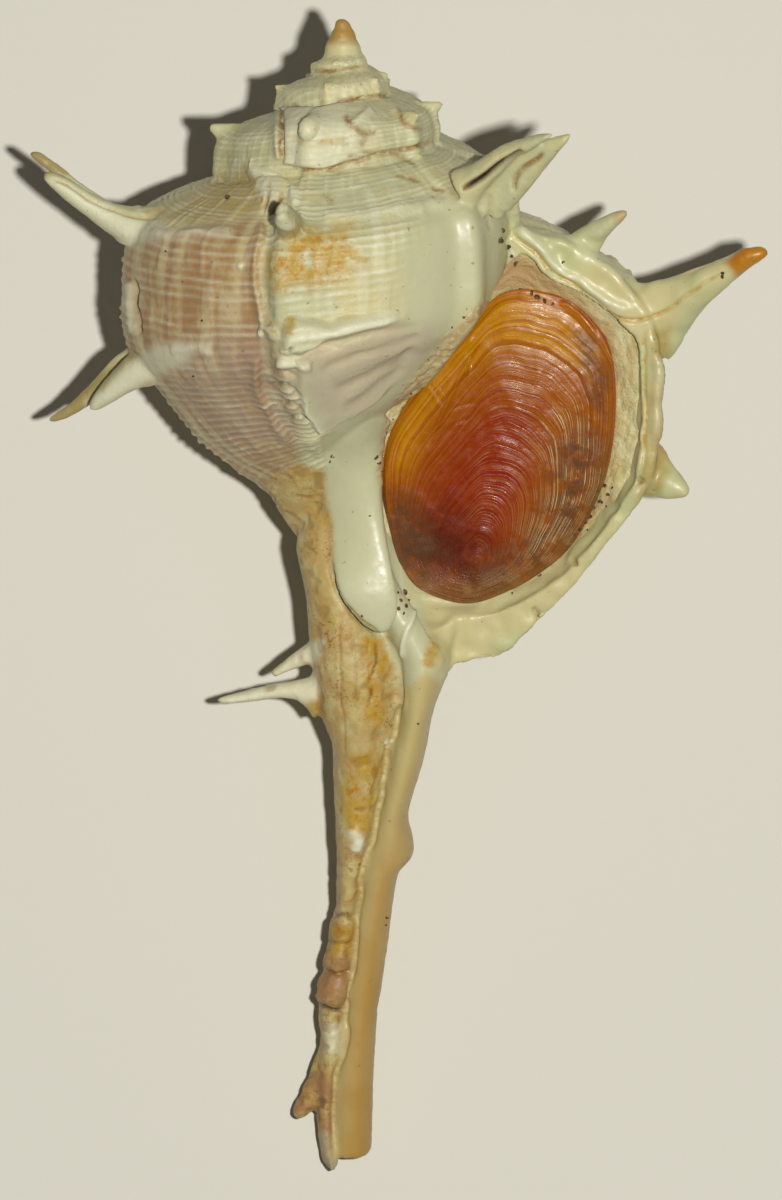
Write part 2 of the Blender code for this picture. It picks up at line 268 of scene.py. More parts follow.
def alongLine(pixels, line):
    # distance of each pixel from the line, how far along it the nearest spot is, and the side (+ is left)
    line = np.array(line, float)
    lengths = np.linalg.norm(np.diff(line, axis=0), axis=1)
    starts = np.concatenate([[0], np.cumsum(lengths)[:-1]])
    best = np.full(len(pixels), 1e9)
    along = np.zeros(len(pixels))
    side = np.ones(len(pixels))
    for a, b, length, start in zip(line, line[1:], lengths, starts):
        run = (b - a) / length
        offset = pixels - a
        u = np.clip(offset @ run, 0, length)
        gap = np.linalg.norm(offset - u[:, None] * run, axis=1)
        nearer = gap < best
        best = np.where(nearer, gap, best)
        along = np.where(nearer, start + u, along)
        turn = run[0] * offset[:, 1] - run[1] * offset[:, 0]
        side = np.where(nearer, np.sign(turn), side)
    return best, along / lengths.sum(), side


# The shell's own form

spines = {
    # spines out of sight, as root and tip (angle, radius, height), width, thickness, bend, bluntness
    "hidden": [
        ((108, 12.0, 13.0), (105, 16.9, 10.0), 2.6, 2.0, 0.0, 0.45),
        ((242, 14.6, 17.4), (242, 24.3, 20.0), 5.0, 4.6, 0.0, 0.25),
        ((302, 16.4, 19.4), (302, 24.5, 22.4), 5.2, 4.8, 0.0, 0.25),
        ((242, 15.0, 26.6), (242, 18.6, 28.4), 3.4, 2.4, 0.0, 0.3),
        ((302, 16.8, 29.6), (302, 19.6, 31.6), 3.6, 2.6, 0.0, 0.3),
        ((262, 0.4, 50.0), (262, 7.8, 51.0), 3.0, 2.4, 0.0, 0.22),
        ((300, 0.6, 49.0), (300, 9.0, 50.6), 3.0, 2.4, 0.0, 0.22),
    ],
    # spines that show: (photo column, row, millimetres in front of the axis, width in pixels, thickness)
    "shown": {
        "leftShoulderBack": [
            (150, 214, -1.4, 20, 1.6), (118, 209, -1.8, 12, 1.2), (90, 194, -2.4, 11, 1.1),
            (63, 174, -2.9, 11, 1.0), (47, 162, -3.2, 10, 0.9), (37, 155, -3.4, 8, 0.8),
            (31, 152, -3.4, 3, 0.5)],
        "leftShoulderFront": [
            (200, 236, 2.0, 64, 3.6), (165, 232, 1.4, 54, 3.4), (136, 227, 0.8, 42, 3.0),
            (112, 217, 0.3, 31, 2.5), (88, 203, 0.0, 23, 2.1), (66, 187, -0.2, 19, 1.7),
            (54, 179, -0.3, 14, 1.3), (46, 175, -0.3, 7, 0.7)],
        "leftLowBack": [
            (150, 352, -1.0, 34, 1.8), (122, 366, -1.6, 26, 1.4), (98, 387, -2.2, 19, 1.2),
            (74, 406, -2.7, 14, 1.0), (57, 415, -3.0, 9, 0.8), (48, 419, -3.0, 4, 0.5)],
        "leftLowFront": [
            (190, 357, 3.2, 46, 2.8), (165, 361, 2.2, 42, 2.8), (141, 369, 1.4, 35, 2.6),
            (124, 379, 0.8, 29, 2.3), (110, 390, 0.4, 23, 1.9), (101, 398, 0.1, 19, 1.5),
            (95, 404, -0.1, 13, 1.1), (91, 408, -0.2, 6, 0.7)],
        "rightHighFront": [
            (500, 203, 6.6, 30, 2.2), (515, 188, 7.4, 26, 2.0), (533, 169, 8.0, 20, 1.7),
            (549, 154, 8.8, 14, 1.3), (562, 143, 9.5, 8, 0.9), (569, 138, 9.8, 3, 0.5)],
        "rightHighBack": [
            (462, 192, 7.4, 40, 2.6), (484, 174, 8.0, 26, 2.2), (504, 158, 8.6, 20, 1.8),
            (525, 148, 9.4, 14, 1.4), (543, 141, 10.2, 7, 0.9), (551, 139, 10.6, 3, 0.5)],
        "rightHighPlate": [
            (478, 200, 6.6, 66, 1.8), (500, 184, 7.2, 44, 1.5), (520, 169, 7.9, 32, 1.3),
            (538, 156, 8.6, 22, 1.1), (552, 146, 9.2, 12, 0.8), (560, 141, 9.5, 5, 0.5)],
        "rightMiddle": [
            (570, 262, 0.6, 40, 2.0), (581, 247, 0.9, 34, 1.9), (594, 234, 1.3, 25, 1.6),
            (608, 223, 1.7, 17, 1.3), (619, 216, 2.0, 12, 1.0), (626, 212, 2.2, 6, 0.6)],
        "rightLong": [
            (640, 324, 0.8, 96, 2.8), (665, 308, 1.5, 66, 2.6), (686, 294, 2.2, 46, 2.4),
            (707, 281, 2.9, 35, 2.2), (727, 269, 3.5, 26, 1.9), (744, 259, 4.0, 19, 1.6),
            (756, 254, 4.3, 14, 1.2), (763, 251, 4.4, 6, 0.7)],
        "rightLow": [
            (645, 468, 1.2, 62, 2.2), (660, 477, 1.9, 44, 1.9), (672, 484, 2.4, 30, 1.6),
            (682, 489, 2.9, 18, 1.2), (688, 492, 3.1, 8, 0.7)],
        "canalUpper": [
            (322, 648, 0.2, 26, 2.2), (307, 653, 0.1, 19, 1.8), (292, 661, 0.0, 14, 1.4),
            (280, 668, 0.0, 10, 1.1), (272, 673, 0.0, 7, 0.9)],
        "canalLower": [
            (322, 694, 0.4, 52, 2.8), (309, 690, 0.3, 32, 2.4), (292, 688, 0.2, 19, 1.9),
            (270, 690, 0.1, 14, 1.6), (245, 695, 0.0, 10, 1.3), (226, 698, 0.0, 8, 1.0),
            (216, 699, 0.0, 4, 0.6)],
        "canalStub": [
            (330, 1060, 0.0, 30, 2.0), (321, 1084, 0.1, 30, 2.0), (310, 1100, 0.2, 24, 1.7),
            (301, 1111, 0.3, 17, 1.4), (294, 1119, 0.4, 11, 1.0)],
    },
    # one on each varix of the spire: root and tip (radius, height), width and thickness at the lip's size
    "spire": ((18.0, 20.6), (24.0, 18.2), 6.0, 3.4),
    "spireWhorls": 3,
    "spireBluntness": 0.2,
    "stations": 15,
    "taper": 0.8,  # under 1 keeps a spine thick for longer
}
canal = {
    # photo pixels: row, left edge, slit, right edge
    "rows": [
        (455, 322, 345, 370), (485, 316, 348, 374), (515, 304, 352, 378), (545, 297, 358, 388),
        (575, 303, 366, 404), (600, 307, 374, 424), (640, 309, 392, 450), (666, 312, 398, 448),
        (700, 317, 400, 436), (722, 324, 397, 430), (742, 331, 391, 427), (770, 333, 386, 420),
        (800, 334, 380, 411), (818, 335, 376, 409), (835, 335, 371, 413), (848, 336, 367, 414),
        (858, 336, 364, 410), (867, 336, 362, 401), (882, 336, 360, 397), (900, 336, 357, 394),
        (929, 330, 352, 390), (965, 324, 349, 385), (1011, 318, 344, 378), (1038, 320, 341, 376),
        (1067, 317, 336, 374), (1111, 316, 333, 373), (1150, 320, 334, 371), (1168, 325, 335, 366)],
    "leftEnd": 1176,  # the left half ends in a shard
    "rightEnd": 1158,
    "overlap": 3,  # pixels that each half reaches past the middle of the slit
    "leftDepth": 0.94,
    # what fills the canal behind the slit: shares of its width and depth, and rows that it ends above the tip
    "core": {"forwards": -0.5, "width": 0.44, "depth": 0.72, "rowsShort": 6},
    "depths": [(33.0, 1.0), (35.4, 1.8), (37.7, 2.6), (41.0, 3.3), (46.0, 4.0), (49.0, 4.3), (51.7, 4.0),
               (56.2, 3.4), (60.7, 2.9), (66.8, 2.5), (71.3, 2.3), (75.4, 2.2), (79.1, 2.2), (86.0, 2.15),
               (90.0, 2.0)],
    "bore": {"fromRow": 1090, "toRow": 1190, "column": 350, "halfWidth": 11, "halfDepth": 0.9},
}
callus = {
    # glazed wall left of the mouth, which ends in a free lobe. Photo pixels: row, left edge, right edge, then
    # millimetres in front of the axis at either edge, and half its thickness
    "rows": [
        (418, 352, 392, 8.0, 5.6, 2.4), (440, 338, 385, 6.6, 4.6, 2.2), (460, 328, 383, 4.6, 4.3, 2.0),
        (480, 322, 382, 3.5, 4.2, 1.8), (505, 321, 383, 2.9, 4.2, 1.5), (530, 326, 386, 2.9, 4.4, 1.2),
        (552, 332, 390, 3.6, 4.7, 0.8), (568, 334, 393, 4.2, 4.9, 0.55), (582, 336, 396, 4.7, 5.1, 0.5),
        (597, 342, 398, 5.0, 5.2, 0.5), (612, 352, 398, 5.1, 5.2, 0.5), (623, 363, 393, 5.1, 5.1, 0.5),
        (631, 376, 386, 5.0, 5.0, 0.45)],
    # the mouth's lower corner, which runs on into the canal's right half
    "corner": [
        (594, 402, 478, 0.6, 0.4, 1.2), (612, 399, 476, 2.4, 0.9, 1.5), (632, 398, 466, 3.5, 1.3, 1.8),
        (655, 399, 454, 3.9, 1.7, 2.0), (680, 400, 442, 4.0, 2.2, 2.0), (706, 399, 434, 3.8, 2.4, 1.5)],
}
ringPoints = {"spine": 20, "horn": 24, "tube": 32, "glaze": 28}
firstWhorls = [
    # height, sideways offset, half width, half depth: each swelling is one small whorl
    (0.0, -0.12, 0.2, 0.2), (0.12, -0.1, 0.45, 0.45), (0.45, -0.05, 0.62, 0.62), (0.75, 0.0, 0.58, 0.58),
    (0.95, 0.02, 0.85, 0.85), (1.35, 0.0, 0.98, 0.98), (1.6, -0.02, 0.93, 0.93), (1.8, -0.02, 1.2, 1.2),
    (2.2, 0.0, 1.34, 1.34), (2.45, 0.0, 1.28, 1.28), (4.0, 0.0, 1.5, 1.5)]


def sectionAt(angle, inside, edge):
    # one of the spiral's sections at this angle, and how far it has changed into the one at the lip
    flare = float(ease((angle - spiral["lipAngle"] + spiral["flareAngle"]) / spiral["flareAngle"]))
    return (1 - flare) * np.array(spiral[inside]) + flare * np.array(spiral[edge]), flare


def spiralSpot(angle, radius, height):
    # where a spot that is given at the lip's size lies at this angle
    size = sizeAt(angle)
    girth = size * slimAt(size)
    return angle, radius * girth, height * size + spiral["apexDrop"] * (1 - size)


def whorlRing(angle):
    section, flare = sectionAt(angle, "whorl", "lip")
    rise, tall = varixAt(angle)
    section[:, 0] += rise * tall * (1 - flare) * np.array(varices["weight"])
    return [place(*spiralSpot(angle, radius, height)) for radius, height in smoothCurve(section, 5)]


def mouthRing(angle):
    # section of the mouth's hollow, which narrows away from the lip
    size = sizeAt(angle)
    depth = (spiral["lipAngle"] - angle) / spiral["mouthDepth"]
    section = smoothCurve(sectionAt(angle, "throat", "mouth")[0], 4, closed=True)
    middle = section.mean(axis=0)
    narrowing = 1 - 0.4 * float(ease(2 * depth - 1))
    section = middle + (section - middle) * narrowing
    return [place(angle, radius * size, height * size) for radius, height in section]


def mouthSection(angle):
    # the mouth's outline as radius and height at this angle
    return smoothCurve(sectionAt(angle, "throat", "mouth")[0], 16, closed=True) * sizeAt(angle)


def addSpine(bm, root, tip, width, thickness, bend, blunt):
    start = place(*root)
    end = place(*tip)
    along = (end - start) / np.linalg.norm(end - start)
    side = np.cross(down, along)
    side /= np.linalg.norm(side)
    across = np.cross(along, side)
    if across @ down < 0:
        across = -across
    rings = []
    for u in np.linspace(0.0, 1.0, spines["stations"]):
        taper = blunt + (1 - blunt) * (1 - u) ** spines["taper"]
        centre = start + (end - start) * u + across * bend * 4 * u * (1 - u)
        ring = []
        for turn in fullTurn(ringPoints["spine"]):
            wide = math.cos(turn) * width / 2 * taper
            thick = math.sin(turn) * thickness / 2 * taper
            ring.append(centre + wide * across + thick * side)
        rings.append(ring)
    addLoft(bm, rings)


def addHorn(bm, stations):
    # a spine drawn over the photo: an oval tube along a curve
    path = smoothCurve(stations, 5)
    centres = [fromPhoto(pixelX, pixelY, forwards) for pixelX, pixelY, forwards, _, _ in path]
    rings = []
    for i, centre in enumerate(centres):
        along = centres[min(i + 1, len(centres) - 1)] - centres[max(i - 1, 0)]
        along /= np.linalg.norm(along)
        side = np.cross(front, along)
        side /= np.linalg.norm(side)
        thick = np.cross(along, side)
        halfWidth = path[i][3] / 2 * photo["mmPerPixel"]
        halfDepth = path[i][4] / 2
        rings.append([
            centre + math.cos(turn) * halfWidth * side + math.sin(turn) * halfDepth * thick
            for turn in fullTurn(ringPoints["horn"])])
    addLoft(bm, rings)


def ellipseRing(centre, halfWidth, halfDepth):
    return [
        centre + math.cos(turn) * halfWidth * right + math.sin(turn) * halfDepth * front
        for turn in fullTurn(ringPoints["tube"])]


def addCanal(bm):
    # two half tubes side by side, so that the slit lies between them
    rows = smoothCurve(canal["rows"], 6)
    depths = np.array(canal["depths"])
    overlap = canal["overlap"]

    def depthAt(centre):
        return np.interp((centre - apex) @ down, depths[:, 0], depths[:, 1])

    for half in ("left", "right"):
        rings = []
        for row, leftEdge, slit, rightEdge in rows:
            if row > canal[half + "End"]:
                break
            edges = (leftEdge, slit + overlap) if half == "left" else (slit - overlap, rightEdge)
            centre = fromPhoto(sum(edges) / 2, row, 0.0)
            depth = depthAt(centre) * (canal["leftDepth"] if half == "left" else 1.0)
            halfWidth = (edges[1] - edges[0]) / 2 * photo["mmPerPixel"]
            rings.append(ellipseRing(centre, halfWidth, depth))
        addLoft(bm, rings)
    core = canal["core"]
    rings = []
    for row, leftEdge, slit, rightEdge in rows[:-core["rowsShort"]]:
        centre = fromPhoto((leftEdge + rightEdge) / 2, row, core["forwards"])
        halfWidth = (rightEdge - leftEdge) * core["width"] * photo["mmPerPixel"]
        rings.append(ellipseRing(centre, halfWidth, depthAt(centre) * core["depth"]))
    addLoft(bm, rings)


def addGlaze(bm, rows):
    rings = []
    for row, leftEdge, rightEdge, leftLevel, rightLevel, halfThickness in smoothCurve(rows, 5):
        ring = []
        for turn in fullTurn(ringPoints["glaze"]):
            across = math.cos(turn)
            column = (leftEdge + rightEdge) / 2 + across * (rightEdge - leftEdge) / 2
            level = (leftLevel + rightLevel) / 2 + across * (rightLevel - leftLevel) / 2 - halfThickness
            level += math.copysign(abs(math.sin(turn)) ** 0.7, math.sin(turn)) * halfThickness
            ring.append(fromPhoto(column, row, level))
        rings.append(ring)
    addLoft(bm, rings)


def buildShellForm():
    bm = bmesh.new()
    first = spiral["lipAngle"] - 360 * spiral["whorls"]
    addLoft(bm, [whorlRing(angle) for angle in np.arange(spiral["lipAngle"], first, -2.0)])
    addCanal(bm)
    addGlaze(bm, callus["rows"])
    addGlaze(bm, callus["corner"])
    addLoft(bm, [
        ellipseRing(apex + height * down + offset * right, halfWidth, halfDepth)
        for height, offset, halfWidth, halfDepth in smoothCurve(firstWhorls, 4)])
    for spine in spines["hidden"]:
        addSpine(bm, *spine)
    for stations in spines["shown"].values():
        addHorn(bm, stations)
    (rootRadius, rootHeight), (tipRadius, tipHeight), width, thickness = spines["spire"]
    for whorl in range(1, spines["spireWhorls"] + 1):
        for crest in varices["heights"]:
            angle = crest - 360 * whorl
            size = sizeAt(angle)
            root = spiralSpot(angle, rootRadius, rootHeight)
            tip = spiralSpot(angle, tipRadius, tipHeight)
            addSpine(bm, root, tip, width * size, thickness * size, 0.0, spines["spireBluntness"])
    return newPiece("shell_skin", bm)


def cutAway(piece, rings):
    bm = bmesh.new()
    addLoft(bm, rings)
    cutter = newPiece("cutter", bm)
    cut = piece.modifiers.new("cut", "BOOLEAN")
    cut.operation = "DIFFERENCE"
    cut.solver = "MANIFOLD"
    cut.object = cutter
    applyModifiers(piece)
    bpy.data.objects.remove(cutter, do_unlink=True)


def cutMouth(piece):
    innermost = spiral["lipAngle"] - spiral["mouthDepth"]
    outermost = spiral["lipAngle"] + 20  # well past the lip
    cutAway(piece, [mouthRing(angle) for angle in np.arange(innermost, outermost, 4)])
    # the canal broke off, so its bore shows at the end
    bore = canal["bore"]
    halfWidth = bore["halfWidth"] * photo["mmPerPixel"]
    cutAway(piece, [
        ellipseRing(fromPhoto(bore["column"], row, 0.0), halfWidth, bore["halfDepth"])
        for row in np.linspace(bore["fromRow"], bore["toRow"], 6)])


def soften(piece, rounds):
    smooth = piece.modifiers.new("soften", "SMOOTH")
    smooth.factor = 0.5
    smooth.iterations = rounds
    applyModifiers(piece)


# The shell's relief and colours

sculpture = {
    "cordSpacing": 1.0,  # millimetres at the lip's size
    "cordHeight": 0.1,
    "threadHeight": 0.085,
    "crestBoost": 1.2,  # cords stand higher on a varix
    "unevenness": 0.24,
    "grain": 0.035,
    "lipRuffle": 0.42,
    "crustHeight": 0.13,
    "pitDepth": 0.1,
    "shoulder": 8.0,  # millimetres along a whorl's section, before which the cords stand closer
    "shoulderSpacing": 0.62,
    "canalStart": 48.0,  # millimetres down the axis
    "spireSize": 0.66,  # whorls smaller than this have worn, lower cords and a darker tone
    "hiddenPink": 0.75,
    "lastSuture": 350.0,  # growth angle
    "spireFlatness": 0.55,  # share of the cords' height that the upper whorls have lost
    "mouthWallFloor": 12.0,  # millimetres above the floor, over which the mouth's wall is smooth
    "sutureDepth": 0.25,
    # pixels that the edges of areas and plates and the drawn lines wander
    "areaWaver": 4.0,
    "plateWaver": 5.0,
    "lineWaver": 3.0,
}
mouthWall = [(488, 262), (560, 258), (642, 330), (642, 470), (602, 548), (520, 608), (400, 612), (372, 560),
             (368, 450), (386, 396), (436, 326)]
plates = {
    # raised parts with a crisp edge: outline in photo pixels, softness, height in millimetres, and the two
    # spots between which the height grows from nothing to full
    "lobe": ([(297, 360), (299, 389), (304, 408), (316, 427), (325, 424), (346, 415), (380, 398),
              (404, 372), (392, 345), (330, 350)], 2.4, 0.7, (352, 345), (322, 392)),
    "stub": ([(283, 351), (286, 332), (296, 322), (330, 325), (375, 317), (412, 313), (404, 322), (360, 332),
              (322, 342), (300, 354)], 5.0, 1.0, (420, 312), (330, 334)),
    "spireStep": ([(285, 110), (322, 114), (352, 104), (400, 100), (434, 112), (434, 138), (420, 146),
                   (345, 165), (322, 171), (286, 165)], 2.6, 0.55, (400, 130), (330, 135)),
    "shoulderPlate": ([(252, 162), (284, 178), (292, 190), (284, 206), (268, 218), (262, 202), (256, 182)],
                      2.6, 0.45, (300, 200), (270, 190)),
    "bulgeOne": ([(322, 920), (340, 916), (354, 922), (352, 940), (338, 944), (322, 938)],
                 8.0, 0.25, (0, 0), (1, 1)),
    "bulgeTwo": ([(320, 946), (338, 950), (352, 946), (350, 968), (336, 972), (319, 967)],
                 8.0, 0.28, (0, 0), (1, 1)),
    "bulgeThree": ([(317, 975), (334, 980), (348, 976), (346, 998), (332, 1004), (316, 1000)],
                   7.0, 0.4, (0, 0), (1, 1)),
}
areas = {
    # outlines in photo pixels, then how softly each ends
    "pink": ([(112, 244), (150, 236), (216, 226), (240, 224), (264, 214), (262, 300), (268, 350),
              (262, 385), (282, 420), (300, 450), (300, 500), (285, 520), (228, 470), (150, 392),
              (120, 340), (112, 250)], 9),
    "rampTan": ([(150, 212), (216, 178), (256, 164), (266, 214), (240, 222), (200, 226)], 7),
    "callus": ([(430, 208), (500, 204), (512, 285), (462, 316), (424, 368), (394, 412), (384, 455),
                (388, 500), (350, 500), (342, 450), (350, 415), (385, 380), (400, 320), (402, 260)], 22),
    "flap": ([(322, 436), (346, 410), (372, 398), (400, 400), (400, 560), (410, 632), (382, 631),
              (363, 619), (346, 600), (336, 583), (333, 568), (336, 540), (331, 512), (324, 473)], 4),
    "lobeWhite": ([(299, 364), (300, 389), (305, 410), (316, 427), (326, 426), (346, 412), (340, 385),
                   (318, 362)], 6),
    "crust": ([(508, 282), (480, 302), (450, 334), (418, 370), (396, 400), (383, 436), (376, 460), (379, 486),
               (392, 486), (396, 440), (413, 403), (442, 364), (470, 328), (508, 298)], 3),
    "corner": ([(404, 600), (470, 600), (462, 640), (446, 668), (432, 700), (404, 700), (398, 640)], 6),
    "lipTan": ([(650, 330), (668, 330), (668, 470), (640, 520), (634, 500), (648, 440)], 6),
    "mauve": ([(300, 352), (340, 340), (392, 328), (440, 326), (436, 345), (410, 372), (380, 396), (350, 415),
               (326, 420), (310, 395), (300, 370)], 12),
    "purplePink": ([(180, 345), (262, 330), (300, 380), (300, 440), (230, 450), (170, 400)], 22),
    "lip": ([(492, 214), (600, 240), (770, 240), (770, 300), (700, 510), (600, 560), (500, 680), (440, 690),
             (420, 600), (480, 600), (540, 572), (588, 530), (622, 480), (634, 430), (636, 346), (585, 304),
             (520, 258)], 6),
    "canalLeft": ([(262, 480), (300, 462), (322, 468), (330, 512), (335, 540), (332, 570), (338, 592),
                   (350, 608), (378, 634), (400, 672), (396, 726), (386, 766), (372, 831), (357, 919),
                   (344, 1011), (333, 1111), (330, 1190), (270, 1190), (262, 560)], 4),
    "canalRight": ([(400, 690), (396, 726), (386, 766), (372, 831), (357, 919), (344, 1011), (333, 1111),
                    (334, 1190), (400, 1190), (430, 800), (450, 690), (425, 670)], 5),
    "stain": ([(296, 232), (350, 232), (366, 262), (340, 284), (300, 292), (272, 290), (268, 262)], 14),
    "canalStain": ([(362, 636), (388, 636), (386, 690), (378, 724), (366, 716), (364, 680)], 7),
    "middleStain": ([(350, 756), (374, 748), (376, 792), (366, 836), (348, 828), (343, 790)], 8),
    "lowStain": ([(332, 925), (352, 925), (350, 950), (330, 955)], 6),
    "canalBrown": ([(316, 915), (346, 925), (350, 968), (344, 1002), (316, 1000)], 6),
    "stubBrown": ([(286, 1120), (300, 1078), (326, 1070), (338, 1096), (330, 1116), (310, 1112)], 6),
    "shardBrown": ([(314, 1112), (334, 1108), (338, 1180), (322, 1182)], 5),
    "smallSpine": ([(212, 696), (290, 674), (314, 664), (322, 690), (304, 704), (240, 708)], 5),
    "smallSpineTwo": ([(266, 676), (300, 642), (324, 640), (318, 660), (290, 678)], 5),
    "spireTan": ([(330, 10), (356, 10), (362, 44), (324, 46)], 6),
    "longTip": ([(722, 262), (745, 238), (780, 238), (770, 262), (742, 284)], 5),
    "middleTip": ([(612, 205), (640, 200), (634, 226), (618, 226)], 7),
    "bare": ([(164, 226), (160, 240), (132, 246), (104, 226), (70, 202), (40, 182), (56, 176), (92, 196),
              (128, 214)], 9),
    "bareLow": ([(196, 346), (190, 362), (152, 380), (90, 414), (88, 402), (126, 366), (158, 344)], 8),
    "olive": ([(20, 140), (44, 152), (70, 172), (64, 178), (46, 178), (30, 170)], 5),
    "oliveLow": ([(40, 424), (100, 372), (135, 348), (140, 354), (96, 396), (90, 412), (60, 428)], 4),
}
